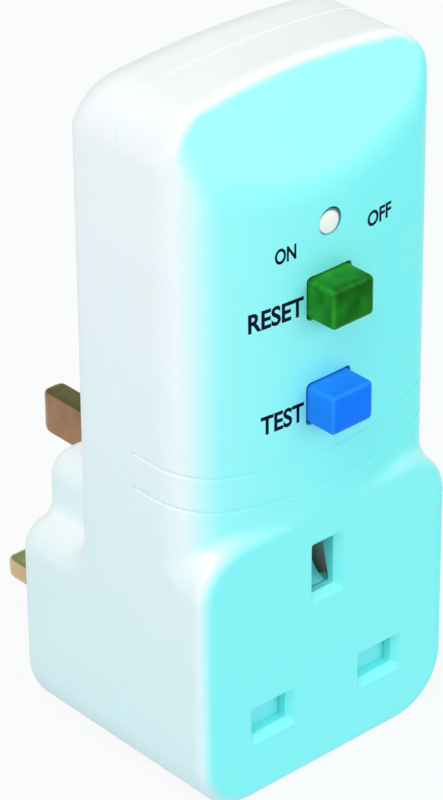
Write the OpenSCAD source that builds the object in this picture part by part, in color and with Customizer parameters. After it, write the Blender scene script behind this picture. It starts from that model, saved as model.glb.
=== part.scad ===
// RCD adapter plug: a plug-through case with a socket on its front and a trip mechanism inside.
// All sizes are in millimetres.
// X runs across the case, Y from the socket face towards the plug pins, Z upwards.
// The origin is on the base, in the middle of the width and of the depth.
// Depths are counted from the socket face; at() turns one into a Y value.

/* [Case] */
// Width across the case
body_w = 51; // [50:0.5:53]
// Height of the case
body_h = 117.5; // [116.5:0.5:121]
// Depth from the socket face to the plug face
body_d = 42.8; // [42:0.2:46]
// Depth of the upper column
column_d = 28.2; // [27.8:0.1:29.4]
// Depth of the front cover, up to the seam
seam_d = 17.5; // [17:0.1:18.2]
// Wall thickness of both covers
wall = 2.2; // [1.9:0.1:2.3]
// Height of the socket block's shoulders
block_h = 47.3; // [46:0.1:48.5]
// Height of the plug block at the rear
plug_h = 35.2; // [34.6:0.1:36.4]
// Height of the tongue round the earth pin
tongue_h = 45; // [44:0.1:46]
// Half of the tongue's width
tongue_x = 19.4; // [18.5:0.1:20]

/* [Edges] */
// Radius of the lower corners seen from the front
base_r = 10; // [9:0.1:10.5]
// Radius of the socket block's upper corners
shoulder_r = 8.5; // [8:0.1:9]
// Radius of the plug block's upper corners
plug_corner_r = 4.8; // [4:0.1:6]
// Radius of the column's top corners
top_r = 7.5; // [7:0.1:8.5]
// Radius of the edge round the socket face
front_edge_r = 2.2; // [1.6:0.1:2.6]
// Radius of the rear edges
rear_edge_r = 2.8; // [2:0.1:3.2]
// Radius of the gentle bow across the column's front
front_bow_r = 90; // [80:1:110]
// Radius of the column's front corners seen from above
column_corner_r = 8; // [7:0.1:8.5]
// Radius of the sagging top edge and of the grooves
sag_r = 107; // [95:1:125]
// Radius of the crowned top
crown_r = 150; // [120:1:200]

/* [Facet and grooves] */
// Distance below the top at which the sloping facet leaves the front
facet_drop = 16.5; // [14.5:0.5:18.5]
// Angle of the facet from the vertical
facet_tilt = 25; // [22:0.5:27]
// Height of the lower groove at mid-width
groove_z = 51; // [50.5:0.1:52]
// Distance between the two grooves
groove_step = 5.8; // [5:0.1:6.2]
// Width of a groove
groove_w = 0.7; // [0.5:0.05:0.9]
// Depth of a groove
groove_depth = 0.4; // [0.3:0.05:0.5]
// Depth from the socket face at which the grooves end
groove_end_d = 14.7; // [13:0.1:15.5]

/* [Pins and apertures] */
// Height of the line and neutral pins above the base
pin_z = 13.7; // [13.4:0.1:14.2]
// Distance of the line and neutral pins from the middle
pin_x = 11.1; // [11:0.05:11.2]
// Height of the earth pin above the other two
earth_rise = 22.2; // [22:0.1:22.4]
// Width of a line or neutral pin
pin_w = 6.35; // [6.2:0.05:6.4]
// Height of a line or neutral pin, and width of the earth pin
pin_t = 4; // [3.9:0.05:4.05]
// Height of the earth pin's section
earth_h = 8; // [7.8:0.05:8.05]
// Length of the line and neutral pins outside the case
pin_len = 17.7; // [17.2:0.1:18.2]
// Length of the earth pin outside the case
earth_len = 22.7; // [22.2:0.1:23.2]
// Length of the insulating sleeves outside the case
sleeve_len = 9.5; // [9:0.1:10]
// Clearance of an aperture round its pin, each side
slot_gap = 0.2; // [0.18:0.01:0.26]
// Width of the bevel round an aperture
slot_bevel = 1.15; // [0.8:0.05:1.3]

/* [Controls] */
// Width of a button
button_w = 8.3; // [7.8:0.1:8.5]
// Height of a button
button_h = 6.6; // [6.2:0.1:6.8]
// How far a button stands out
button_proud = 5.4; // [4.5:0.1:5.8]
// Distance of the reset button's middle below the top
reset_drop = 34; // [33:0.1:36]
// Distance of the indicator window above the reset button
window_rise = 11.4; // [11.2:0.1:11.6]
// Place of the test button on the way from the block's shoulders to the reset button
test_place = 0.514; // [0.48:0.002:0.55]
// Diameter of the indicator window
window_dia = 4.3; // [4:0.1:4.6]
// Travel of the reset button and of the contact carrier
reset_travel = 3; // [2.8:0.1:3]
// Travel of the test button
test_travel = 2.5; // [2:0.1:2.7]
// Running clearance of the moving pieces
gap = 0.3; // [0.3:0.01:0.34]

/* [Hidden] */
$fn = 48;
arc_steps = 12;

// Colours of the materials
shell_color = [0.86, 0.97, 0.97];
brass_color = [0.80, 0.65, 0.36];
copper_color = [0.78, 0.47, 0.30];
steel_color = [0.70, 0.71, 0.72];
dark_color = [0.16, 0.16, 0.17];
cream_color = [0.90, 0.88, 0.80];

// Case, as distances from the middle and depths from the socket face
half_w = body_w / 2;
inner_x = half_w - wall;
front_in = wall;
plug_in = body_d - wall;
column_in = column_d - wall;
earth_z = pin_z + earth_rise;
facet_z = body_h - facet_drop;
reset_z = body_h - reset_drop;
window_z = reset_z + window_rise;
test_z = block_h + test_place * (reset_z - block_h);
corner_x = half_w - column_corner_r;
corner_d = front_bow_r - sqrt(pow(front_bow_r - column_corner_r, 2) - pow(corner_x, 2));
bow_angle = asin(corner_x / (front_bow_r - column_corner_r));
top_x = half_w - top_r;
top_z = body_h - crown_r + sqrt(pow(crown_r - top_r, 2) - pow(top_x, 2));
crown_angle = asin(top_x / (crown_r - top_r));

// Trip mechanism, as depths, counted forwards from the board
board_t = 1.6;
board_d = column_in - 2 - board_t;
board_back = board_d + board_t;
board_low = block_h + 2.7;
board_top = body_h - 6;
tip_t = 0.8;
bridge_back = board_d - tip_t - gap - reset_travel;
carrier_back = bridge_back - 1.1;
carrier_d = carrier_back - 2.6;
frame_back = carrier_d - 1.2;
frame_d = frame_back - 1.8;
flange_d = front_in + 0.45;
flange_back = flange_d + 1.35;
stem_dia = 3.6;
carrier_low = reset_z - 4.9;
carrier_top = reset_z + 5.1;
contact_z = reset_z - 2.5;
supply_x = 8;
load_x = 14;
guide_x = 11.8;
guide_z = reset_z + 2.3;

// Indicator flag, stored turned back by half of its swing
flag_tilt = 24;
flag_d = frame_d - 1;
blade_d = front_in + 3;
flag_arm = flag_d - blade_d;
finger_r = reset_travel / 2 / sin(flag_tilt);
finger_z = window_z - finger_r * cos(flag_tilt);

// Solenoid and latch on the right
coil_x = 11;
coil_d = board_d - 6;
plunger_travel = 1.5;
collar_z = carrier_top + 1;
yoke_z = collar_z + 9.4;
yoke_top = yoke_z + 12;
lever_x = 4.6;
lever_z = collar_z + 3.4;
lever_d = frame_back + 0.4;

// Socket side, as depths
shutter_d = front_in + 0.45;
shutter_t = 1.8;
shutter_travel = 5.2;
tray_d = front_in + 2.8;
tray_t = 2;
tray_back = tray_d + tray_t;
contact_d = tray_back + 0.3;
contact_back = contact_d + 11.6;
earth_contact_d = tray_back + 2.4;
earth_contact_back = earth_contact_d + 13.5;
bar_t = 0.8;
strip_t = 0.6;

// Plug side, as depths
pin_inner_d = plug_in - 2.6;
pin_flange_d = plug_in - 1.5;
core_len = 6;
core_d = (board_back + pin_inner_d - core_len) / 2;
core_z = 23.1;
core_dia = 17;
core_bore = 8.6;

// Screws, seat depth under the head and depth of the tip
screw_spots = [[19.2, body_h - 10.3], [18.5, 10.5]];
screw_seat_d = 24;
screw_tip_d = 8.6;
screw_dia = 2.9;
screw_head_dia = 5;
board_screw_spots = [[4.1, board_low + 3.5], [-12.5, board_top - 4], [2.5, board_top - 4]];

function at(d) = d - body_d / 2;
function mirrored(path) = [for (i = [len(path) - 1:-1:0]) path[i]];
function arc(x, y, r, from, to, steps = arc_steps) =
    [for (i = [0:steps]) [x + r * cos(from + (to - from) * i / steps), y + r * sin(from + (to - from) * i / steps)]];
function clean(path) =
    [for (i = [0:len(path) - 1]) if (norm(path[i] - path[(i + 1) % len(path)]) > 0.001) path[i]];
function unit(v) = v / norm(v);
function across(v) = [-v[1], v[0]];

// Sideways shift of one point of a bent strip, mitred at the bends
function strip_shift(path, i) =
    let (last = len(path) - 1)
    let (before = unit(path[max(i, 1)] - path[max(i, 1) - 1]))
    let (after = unit(path[min(i, last - 1) + 1] - path[min(i, last - 1)]))
    let (n = unit(across(before) + across(after)))
    n / (n * across(before));
function strip_side(path, shift) = [for (i = [0:len(path) - 1]) path[i] + shift * strip_shift(path, i)];

// Box between two depths, given by its limits
module slab(x0, x1, d0, d1, z0, z1) {
    translate([x0, at(d0), z0])
        cube([x1 - x0, d1 - d0, z1 - z0]);
}

// Outline in X and Z, drawn out between two depths
module along_y(d0, d1) {
    translate([0, at(d1), 0])
        rotate([90, 0, 0])
            linear_extrude(d1 - d0)
                children();
}

// Outline in depth and Z, drawn out across the case
module along_x(x0, x1) {
    translate([x0, at(0), 0])
        rotate([90, 0, 90])
            linear_extrude(x1 - x0)
                children();
}

// Outline in X and depth, drawn upwards
module along_z(z0, z1) {
    translate([0, at(0), z0])
        linear_extrude(z1 - z0)
            children();
}

module rod_x(x0, x1, d, z, dia) {
    translate([x0, at(d), z])
        rotate([0, 90, 0])
            cylinder(h = x1 - x0, d = dia);
}

module rod_y(x, z, d0, d1, dia) {
    translate([x, at(d1), z])
        rotate([90, 0, 0])
            cylinder(h = d1 - d0, d = dia);
}

module rod_z(x, d, z0, z1, dia) {
    translate([x, at(d), z0])
        cylinder(h = z1 - z0, d = dia);
}

// Strip of even thickness along a bent path
module strip(path, t) {
    polygon(concat(strip_side(path, t / 2), mirrored(strip_side(path, -t / 2))));
}

// Coil spring standing on the origin; the wire is a ring of points swept up the helix
module coil_spring(dia, wire, length, turns) {
    sides = 6;
    steps = turns * 11;
    rise = length - wire;
    r = (dia - wire) / 2;
    points = [for (i = [0:steps]) for (j = [0:sides - 1])
        let (a = 360 * turns * i / steps)
        let (b = 360 * j / sides)
        let (q = r + wire / 2 * cos(b))
        [q * cos(a), q * sin(a), wire / 2 + rise * i / steps + wire / 2 * sin(b)]];
    lower = [for (i = [0:steps - 1]) for (j = [0:sides - 1])
        [i * sides + j, (i + 1) * sides + j, i * sides + (j + 1) % sides]];
    upper = [for (i = [0:steps - 1]) for (j = [0:sides - 1])
        [i * sides + (j + 1) % sides, (i + 1) * sides + j, (i + 1) * sides + (j + 1) % sides]];
    first = [[for (j = [0:sides - 1]) j]];
    last = [[for (j = [sides - 1:-1:0]) steps * sides + j]];
    polyhedron(points, concat(lower, upper, first, last));
}

// Spring with its axis along Y, between two depths
module spring_y(x, z, d0, d1, dia, wire, turns) {
    translate([x, at(d0), z])
        rotate([-90, 0, 0])
            coil_spring(dia, wire, d1 - d0, turns);
}

// Ring that rounds one corner of a hull seen from the front; it closes on its axis where the corner is tight
module edge_ring(x, z, d, r, edge) {
    translate([x, at(d), z])
        rotate([90, 0, 0])
            rotate_extrude($fn = 4 * arc_steps)
                intersection() {
                    translate([r - edge, 0])
                        circle(edge, $fn = 20);
                    translate([0, -edge])
                        square([r, 2 * edge]);
                }
}

// Case seen from the front at the seam: rounded base, flush sides, crowned top
module case_outline(inset) {
    base = base_r - inset;
    top = top_r - inset;
    polygon(clean(concat(
        arc(half_w - base_r, base_r, base, -90, 0),
        arc(top_x, top_z, top, 0, 90 - crown_angle),
        arc(0, body_h - crown_r, crown_r - inset, 90 - crown_angle, 90 + crown_angle),
        arc(-top_x, top_z, top, 90 + crown_angle, 180),
        arc(base_r - half_w, base_r, base, 180, 270))));
}

// Column seen from above: bowed front, rounded front corners, flush sides
module column_plan(inset) {
    x = half_w - inset;
    r = column_corner_r - inset;
    polygon(clean(concat(
        [[x, 50]],
        arc(corner_x, corner_d, r, 0, bow_angle - 90),
        arc(0, front_bow_r, front_bow_r - inset, bow_angle - 90, -bow_angle - 90),
        arc(-corner_x, corner_d, r, -bow_angle - 90, -180),
        [[-x, 50]])));
}

// Everything in front of the sloping facet
module facet_space(inset) {
    shift = inset / cos(facet_tilt);
    rise = 40;
    along_x(-half_w - 5, half_w + 5)
        polygon([
            [shift, facet_z],
            [shift + rise * tan(facet_tilt), facet_z + rise],
            [shift - 40, facet_z + rise],
            [shift - 40 * tan(facet_tilt), facet_z - 40]]);
}

// Upright body behind the bowed front, from a given height and up to a given depth
module column(inset, low, depth) {
    difference() {
        intersection() {
            along_y(-5, depth)
                case_outline(inset);
            along_z(low, body_h + 5)
                column_plan(inset);
        }
        facet_space(inset);
    }
}

// Rounded rectangle seen from the front
module block_outline(x, low, high, low_r, high_r) {
    polygon(clean(concat(
        arc(x - low_r, low + low_r, low_r, -90, 0),
        arc(x - high_r, high - high_r, high_r, 0, 90),
        arc(high_r - x, high - high_r, high_r, 90, 180),
        arc(low_r - x, low + low_r, low_r, 180, 270))));
}

// Disc whose upper part lies under a sagging edge
module sag_disc(z, r) {
    translate([0, z + sag_r])
        circle(r, $fn = 160);
}

// Socket block: rounded edge all round the socket face, sagging top edge
module socket_block() {
    low_x = half_w - base_r;
    high_x = half_w - shoulder_r;
    high_z = block_h - shoulder_r;
    difference() {
        hull() {
            for (side = [-1, 1]) {
                edge_ring(side * low_x, base_r, front_edge_r, base_r, front_edge_r);
                edge_ring(side * high_x, high_z, front_edge_r, shoulder_r, front_edge_r);
            }
            along_y(front_edge_r + 1, seam_d)
                block_outline(half_w, 0, block_h, base_r, shoulder_r);
        }
        along_y(-1, seam_d + 1)
            sag_disc(block_h - 1.3, sag_r);
    }
}

// Thin skin band of one groove round the column's front
module groove(z) {
    difference() {
        along_y(-2, groove_end_d)
            intersection() {
                difference() {
                    sag_disc(z, sag_r + groove_w / 2);
                    sag_disc(z, sag_r - groove_w / 2);
                }
                translate([-half_w - 2, z - 2])
                    square([body_w + 4, 8]);
            }
        along_z(z - 5, z + 12)
            column_plan(groove_depth);
    }
}

// Aperture with a bevelled mouth
module aperture(x, z, w, h) {
    slab(x - w / 2, x + w / 2, -1, wall + 2, z - h / 2, z + h / 2);
    mouth = slot_bevel + 0.5;
    intersection() {
        along_z(z - h / 2 - 3, z + h / 2 + 3)
            polygon([[x - w / 2 - mouth, -0.5], [x + w / 2 + mouth, -0.5], [x + w / 2, slot_bevel],
                [x - w / 2, slot_bevel]]);
        along_x(x - w / 2 - 3, x + w / 2 + 3)
            polygon([[-0.5, z - h / 2 - mouth], [slot_bevel, z - h / 2], [slot_bevel, z + h / 2],
                [-0.5, z + h / 2 + mouth]]);
    }
}

module button_hole(z) {
    w = button_w / 2 + gap;
    h = button_h / 2 + gap;
    slab(-w, w, -2, wall + 2, z - h, z + h);
}

// Hollow of the front cover
module front_cavity() {
    column(wall, 0, seam_d + 1);
    difference() {
        along_y(front_in, corner_d + 4)
            block_outline(inner_x, wall, block_h - wall, base_r - wall, shoulder_r - wall);
        along_y(front_in - 1, corner_d + 5)
            sag_disc(block_h - 1.3 - wall, sag_r);
    }
}

// Screw bosses and rests for the tray, standing on the front cover's inside
module front_ribs() {
    for (side = [-1, 1]) {
        for (spot = screw_spots)
            rod_y(side * spot[0], spot[1], 1, seam_d, 6);
        slab(side * 7 - 2, side * 7 + 2, 1, tray_d, 1, pin_z - shutter_travel - 3.1);
        slab(side * 10 - 2, side * 10 + 2, 1, tray_d, earth_z + 4.5, earth_z + 7.5);
    }
    earth_cheeks();
}

// Cheeks flush with the sides of the earth aperture, which guide the shutter's ramp between them
module earth_cheeks() {
    side_x = pin_t / 2 + slot_gap;
    low = earth_z - earth_h / 2 + slot_gap;
    high = earth_z + earth_h / 2 + slot_gap;
    for (side = [0, 1])
        mirror([side, 0, 0])
            along_x(side_x, side_x + 1.2)
                polygon([[1, low], [tray_d - 0.6, low], [tray_d + 1.2, high], [1, high]]);
}

module front_cover() {
    pin_slot_w = pin_w + 2 * slot_gap + 0.2;
    pin_slot_h = pin_t + 2 * slot_gap;
    color(shell_color)
        difference() {
            union() {
                column(0, base_r + 4, seam_d);
                socket_block();
            }
            difference() {
                front_cavity();
                front_ribs();
            }
            for (side = [-1, 1]) {
                aperture(side * pin_x, pin_z, pin_slot_w, pin_slot_h);
                for (spot = screw_spots)
                    rod_y(side * spot[0], spot[1], screw_tip_d - 0.6, seam_d + 1, screw_dia + 0.2);
            }
            aperture(0, earth_z, pin_slot_h, earth_h + 2 * slot_gap);
            button_hole(reset_z);
            button_hole(test_z);
            rod_y(0, window_z, -2, wall + 2, window_dia + 0.1);
            groove(groove_z);
            groove(groove_z + groove_step);
        }
}

// Rear half of the column, with its rear edge rounded along the top and the sides
module rear_column() {
    d = column_d - rear_edge_r;
    hull() {
        for (side = [-1, 1]) {
            edge_ring(side * top_x, top_z - 0.6, d, top_r, rear_edge_r);
            rod_z(side * (half_w - rear_edge_r), d, 15, 20, 2 * rear_edge_r);
        }
        rod_x(-6, 6, d, body_h - 0.8 - rear_edge_r, 2 * rear_edge_r);
        along_y(seam_d, seam_d + 0.5)
            intersection() {
                case_outline(0);
                translate([-half_w, 15])
                    square([body_w, body_h]);
            }
    }
}

// Plug block with its rear edge rounded all round
module plug_block() {
    d = body_d - rear_edge_r;
    hull() {
        for (side = [-1, 1]) {
            edge_ring(side * (half_w - base_r), base_r, d, base_r, rear_edge_r);
            edge_ring(side * (half_w - plug_corner_r), plug_h - plug_corner_r, d, plug_corner_r, rear_edge_r);
        }
        along_y(seam_d, seam_d + 1)
            block_outline(half_w, 0, plug_h, base_r, plug_corner_r);
    }
}

// Tongue that carries the wall round the earth pin
module tongue() {
    edge = 2;
    corner = 4.2;
    d = body_d - edge;
    hull() {
        for (side = [-1, 1])
            edge_ring(side * (tongue_x - corner), tongue_h - corner, d, corner, edge);
        along_y(column_d - 4, d)
            block_outline(tongue_x, 20, tongue_h, 1, corner);
        slab(edge - tongue_x, tongue_x - edge, d, body_d, 20, 24);
    }
}

// Hollow of the rear cover
module rear_cavity() {
    along_y(seam_d - 2, column_in)
        case_outline(wall);
    along_y(seam_d - 2, plug_in)
        block_outline(inner_x, wall, plug_h - wall, base_r - wall, plug_corner_r - wall);
    along_y(column_d - 5, plug_in)
        block_outline(tongue_x - wall - 0.5, 15, tongue_h - wall, 2, 2);
}

// Screw posts, board posts and the cradle of the sensing core, standing on the rear cover's inside
module rear_ribs() {
    for (side = [-1, 1])
        for (spot = screw_spots)
            rod_y(side * spot[0], spot[1], seam_d, body_d - 1, 7);
    for (spot = board_screw_spots)
        rod_y(spot[0], spot[1], board_back, column_d - 1, 4.6);
    slab(-6, 6, core_d - 0.5, core_d + core_len + 0.5, 1, core_z - core_dia / 2 - 0.1);
}

// Lip that the front cover slips over at the seam
module seam_lip() {
    fit = 0.15;
    difference() {
        along_y(seam_d - 1.2, seam_d + 0.5)
            case_outline(wall + fit);
        along_y(seam_d - 1.5, seam_d + 1)
            case_outline(wall + fit + 0.9);
    }
    difference() {
        along_y(seam_d, seam_d + 0.5)
            case_outline(wall - 0.5);
        along_y(seam_d - 0.5, seam_d + 1)
            case_outline(wall + fit + 0.9);
    }
}

module rear_cover() {
    color(shell_color)
        difference() {
            union() {
                difference() {
                    union() {
                        rear_column();
                        plug_block();
                        tongue();
                    }
                    difference() {
                        rear_cavity();
                        rear_ribs();
                    }
                }
                seam_lip();
            }
            for (side = [-1, 1]) {
                slab(side * pin_x - pin_w / 2 - 0.05, side * pin_x + pin_w / 2 + 0.05, plug_in - 1, body_d + 1,
                    pin_z - pin_t / 2 - 0.05, pin_z + pin_t / 2 + 0.05);
                for (spot = screw_spots) {
                    rod_y(side * spot[0], spot[1], seam_d - 1, screw_seat_d + 1, screw_dia + 0.4);
                    rod_y(side * spot[0], spot[1], screw_seat_d, body_d + 1, screw_head_dia + 0.4);
                }
            }
            slab(-pin_t / 2 - 0.05, pin_t / 2 + 0.05, plug_in - 1, body_d + 1,
                earth_z - earth_h / 2 - 0.05, earth_z + earth_h / 2 + 0.05);
            for (spot = board_screw_spots)
                rod_y(spot[0], spot[1], board_back - 0.5, column_d - 0.9, 2.1);
        }
}

// Four long screws put in from the rear
module cover_screws() {
    color(steel_color)
        for (side = [-1, 1])
            for (spot = screw_spots) {
                difference() {
                    rod_y(side * spot[0], spot[1], screw_seat_d, screw_seat_d + 2, screw_head_dia);
                    slab(side * spot[0] - 1.3, side * spot[0] + 1.3, screw_seat_d + 1, screw_seat_d + 3,
                        spot[1] - 0.4, spot[1] + 0.4);
                    slab(side * spot[0] - 0.4, side * spot[0] + 0.4, screw_seat_d + 1, screw_seat_d + 3,
                        spot[1] - 1.3, spot[1] + 1.3);
                }
                rod_y(side * spot[0], spot[1], screw_tip_d, screw_seat_d, screw_dia);
            }
}

// Clear window, flush behind the wall and held by its flange
module indicator_lens() {
    color([0.95, 0.97, 0.97, 0.6]) {
        rod_y(0, window_z, 0.5, front_in + 0.4, window_dia);
        rod_y(0, window_z, front_in + 0.15, front_in + 0.9, window_dia + 1.8);
    }
}

// Two-colour flag behind the window, hinged on a pin across the frame's lugs
module indicator_flag() {
    height = window_dia + 4.4;
    color([0.75, 0.12, 0.10])
        translate([0, at(flag_d), window_z])
            rotate([-flag_tilt, 0, 0])
                translate([0, -at(flag_d), -window_z])
                    difference() {
                        union() {
                            rod_x(-2.8, 2.8, flag_d, window_z, 3.4);
                            slab(-2, 2, blade_d, flag_d, window_z - 0.5, window_z + 0.5);
                            slab(-3.2, 3.2, blade_d - 0.4, blade_d + 0.4, window_z - height / 2, window_z + height / 2);
                            slab(-0.9, 0.9, flag_d - 0.7, flag_d + 0.7, window_z - finger_r - 0.7, window_z - 1);
                        }
                        rod_x(-4, 4, flag_d, window_z, 1.8);
                    }
}

module flag_pin() {
    color(steel_color)
        rod_x(-4.8, 4.8, flag_d, window_z, 1.6);
}

// Push button: cap through the wall, flange behind it, stem towards the mechanism
module push_button(z, stem_end) {
    w = button_w / 2;
    h = button_h / 2;
    edge = 0.9;
    intersection() {
        along_y(-button_proud, flange_d)
            block_outline_at(z, w, h, edge);
        along_z(z - h - 1, z + h + 1)
            polygon([[w, flange_d + 1], [w, edge - button_proud], [w - edge * 0.3, edge * 0.3 - button_proud],
                [w - edge, -button_proud], [edge - w, -button_proud], [edge * 0.3 - w, edge * 0.3 - button_proud],
                [-w, edge - button_proud], [-w, flange_d + 1]]);
        along_x(-w - 1, w + 1)
            polygon([[flange_d + 1, z + h], [edge - button_proud, z + h],
                [edge * 0.3 - button_proud, z + h - edge * 0.3], [-button_proud, z + h - edge],
                [-button_proud, z - h + edge], [edge * 0.3 - button_proud, z - h + edge * 0.3],
                [edge - button_proud, z - h], [flange_d + 1, z - h]]);
    }
    slab(-w - 1.1, w + 1.1, flange_d, flange_back, z - h - 1.1, z + h + 1.1);
    rod_y(0, z, flange_back - 0.5, stem_end, stem_dia);
}

module block_outline_at(z, w, h, r) {
    translate([0, z])
        block_outline(w, -h, h, r, r);
}

module reset_button() {
    color([0.10, 0.50, 0.14])
        push_button(reset_z, carrier_d - gap);
}

module test_button() {
    color([0.08, 0.46, 0.95])
        push_button(test_z, board_d - 4.4 - gap - test_travel);
}

module reset_spring() {
    color(steel_color)
        spring_y(0, reset_z, flange_back, frame_d, 6.2, 0.6, 5);
}

module test_spring() {
    color(steel_color)
        spring_y(0, test_z, flange_back, frame_d, 6.2, 0.6, 5);
}

// Springy strip that the test button's stem closes
module test_contact_leaf() {
    top = board_d - 4.2;
    color(brass_color)
        along_x(-2, 2)
            strip([[board_d - 0.2, test_z - 9.6], [board_d - 0.2, test_z - 6.4], [top, test_z - 2.6],
                [top, test_z + 2.6]], 0.4);
}

// Solid pin of rectangular section with bevelled tip edges, from one depth to another
module pin_bar(x, z, w, h, d0, d1, bevel) {
    intersection() {
        along_z(z - h, z + h)
            polygon([[x - w / 2, d0], [x + w / 2, d0], [x + w / 2, d1 - bevel * 1.6], [x + w / 2 - bevel, d1],
                [x - w / 2 + bevel, d1], [x - w / 2, d1 - bevel * 1.6]]);
        along_x(x - w, x + w)
            polygon([[d0, z - h / 2], [d1 - bevel * 1.6, z - h / 2], [d1, z - h / 2 + bevel],
                [d1, z + h / 2 - bevel], [d1 - bevel * 1.6, z + h / 2], [d0, z + h / 2]]);
    }
}

module earth_pin() {
    color(brass_color) {
        pin_bar(0, earth_z, pin_t, earth_h, pin_inner_d, body_d + earth_len, 1);
        slab(-pin_t / 2 - 1.4, pin_t / 2 + 1.4, pin_flange_d, plug_in, earth_z - earth_h / 2 - 1.4,
            earth_z + earth_h / 2 + 1.4);
    }
}

// Line or neutral pin: full section at the tip, a slimmer neck under the sleeve, a flange inside
module power_pin(side) {
    x = side * pin_x;
    neck_w = pin_w - 1;
    neck_t = pin_t - 1;
    color(brass_color) {
        pin_bar(x, pin_z, pin_w, pin_t, body_d + sleeve_len, body_d + pin_len, 0.9);
        slab(x - neck_w / 2, x + neck_w / 2, pin_inner_d, body_d + sleeve_len + 0.5, pin_z - neck_t / 2,
            pin_z + neck_t / 2);
        slab(x - pin_w / 2 - 0.6, x + pin_w / 2 + 0.6, pin_flange_d, plug_in, pin_z - pin_t / 2 - 1,
            pin_z + pin_t / 2 + 1);
    }
}

module line_pin() {
    power_pin(1);
}

module neutral_pin() {
    power_pin(-1);
}

module pin_sleeve(side) {
    x = side * pin_x;
    neck_w = pin_w - 1;
    neck_t = pin_t - 1;
    color(dark_color)
        difference() {
            slab(x - pin_w / 2, x + pin_w / 2, plug_in, body_d + sleeve_len, pin_z - pin_t / 2, pin_z + pin_t / 2);
            slab(x - neck_w / 2, x + neck_w / 2, plug_in - 1, body_d + sleeve_len + 1, pin_z - neck_t / 2,
                pin_z + neck_t / 2);
        }
}

module line_pin_sleeve() {
    pin_sleeve(1);
}

module neutral_pin_sleeve() {
    pin_sleeve(-1);
}

// Half of a bowed clip, as distances from the entry and from the middle
function clip_half(length) = [[0, 3.4], [1.4, 2.55], [length * 0.5, 2.3], [length - 1.2, 2.9], [length - 0.3, 2]];
function clip_path(length) = concat(clip_half(length), [for (p = mirrored(clip_half(length))) [p[0], -p[1]]]);

module power_contact(side) {
    path = [for (p = clip_path(contact_back - contact_d)) [contact_d + p[0], pin_z + p[1]]];
    color(brass_color)
        along_x(side * pin_x - 3.3, side * pin_x + 3.3)
            strip(path, strip_t);
}

module line_contact() {
    power_contact(1);
}

module neutral_contact() {
    power_contact(-1);
}

module earth_contact() {
    path = [for (p = clip_path(earth_contact_back - earth_contact_d)) [p[1], earth_contact_d + p[0]]];
    color(brass_color)
        along_z(earth_z - 3.6, earth_z + 3.6)
            strip(path, strip_t);
}

// Bent strap from the earth contact to the earth pin
module earth_strap() {
    front = earth_contact_back + bar_t / 2;
    back = pin_inner_d - bar_t / 2;
    color(brass_color)
        along_x(-2.5, 2.5)
            strip([[front, earth_z - 3], [front, earth_z], [back, earth_z], [back, earth_z + 3]], bar_t);
}

// Inner moulding that holds the contacts behind the shutter
module socket_tray() {
    low = 4;
    high = earth_z + 7.8;
    color(cream_color)
        difference() {
            union() {
                slab(-15.2, 15.2, tray_d, tray_back, low, high);
                slab(-1.1, 1.1, shutter_d + 0.1, tray_d + 0.5, low, low + 1.6);
                for (side = [-1, 1])
                    slab(side * pin_x - 4, side * pin_x + 4, tray_d, tray_back + 4, pin_z - 5.2, pin_z + 5.2);
                slab(-5.4, 5.4, tray_d, tray_back + 6.4, earth_z - 5.2, earth_z + 5.2);
            }
            for (side = [-1, 1]) {
                slab(side * pin_x - 3.5, side * pin_x + 3.5, tray_d - 1, tray_back + 5, pin_z - 2.3, pin_z + 2.3);
                slab(side * pin_x - 3.4, side * pin_x + 3.4, contact_d - 0.2, tray_back + 5, pin_z - 4, pin_z + 4);
            }
            slab(-4, 4, tray_d - 1, tray_back + 7, earth_z - 12.5, earth_z + 4.4);
        }
}

// Sliding shutter: a blade behind each live aperture and a ramp that the earth pin pushes down
module shutter() {
    back = shutter_d + shutter_t;
    ramp_low = earth_z - earth_h / 2 - 0.4;
    ramp_x = pin_t / 2 + slot_gap - gap;
    color(shell_color)
        difference() {
            union() {
                slab(-pin_x - 3.9, pin_x + 3.9, shutter_d, back, pin_z - 2.6, pin_z + 2.6);
                slab(-3.6, 3.6, shutter_d, back, pin_z - 4.6, ramp_low);
                along_x(-ramp_x, ramp_x)
                    polygon([[shutter_d, ramp_low - 3], [shutter_d, ramp_low], [back, ramp_low + 1],
                        [tray_d + 1.6, ramp_low + 3.6], [tray_d + 3, ramp_low + 5.8], [tray_d + 3.6, ramp_low + 5.8],
                        [tray_d + 3.6, ramp_low + 1.6], [back, ramp_low - 3]]);
            }
            slab(-1.7, 1.7, shutter_d - 1, back + 1, pin_z - 6, pin_z + 4.4);
        }
}

module shutter_spring() {
    color(steel_color)
        translate([0, at(shutter_d + shutter_t / 2), 5.6])
            coil_spring(2.4, 0.3, pin_z + 4.4 - 5.6, 10);
}

// Board with corners cut away round the screw posts
module circuit_board() {
    x = 18.6;
    cut_x = 15.4;
    cut_z = screw_spots[0][1] - 3.8;
    color([0.16, 0.42, 0.22])
        difference() {
            along_y(board_d, board_back)
                polygon([[-x, board_low], [x, board_low], [x, cut_z], [cut_x, cut_z], [cut_x, board_top],
                    [-cut_x, board_top], [-cut_x, cut_z], [-x, cut_z]]);
            for (spot = board_screw_spots)
                rod_y(spot[0], spot[1], board_d - 1, board_back + 1, 2.3);
            for (x = [-load_x, -supply_x, supply_x, load_x])
                rod_y(x, contact_z, board_d - 1, board_back + 1, 2.1);
        }
}

module board_screws() {
    color(steel_color)
        for (spot = board_screw_spots) {
            rod_y(spot[0], spot[1], board_d - 1.4, board_d, 3.8);
            rod_y(spot[0], spot[1], board_d - 0.2, column_d - 1.1, 2);
        }
}

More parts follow.
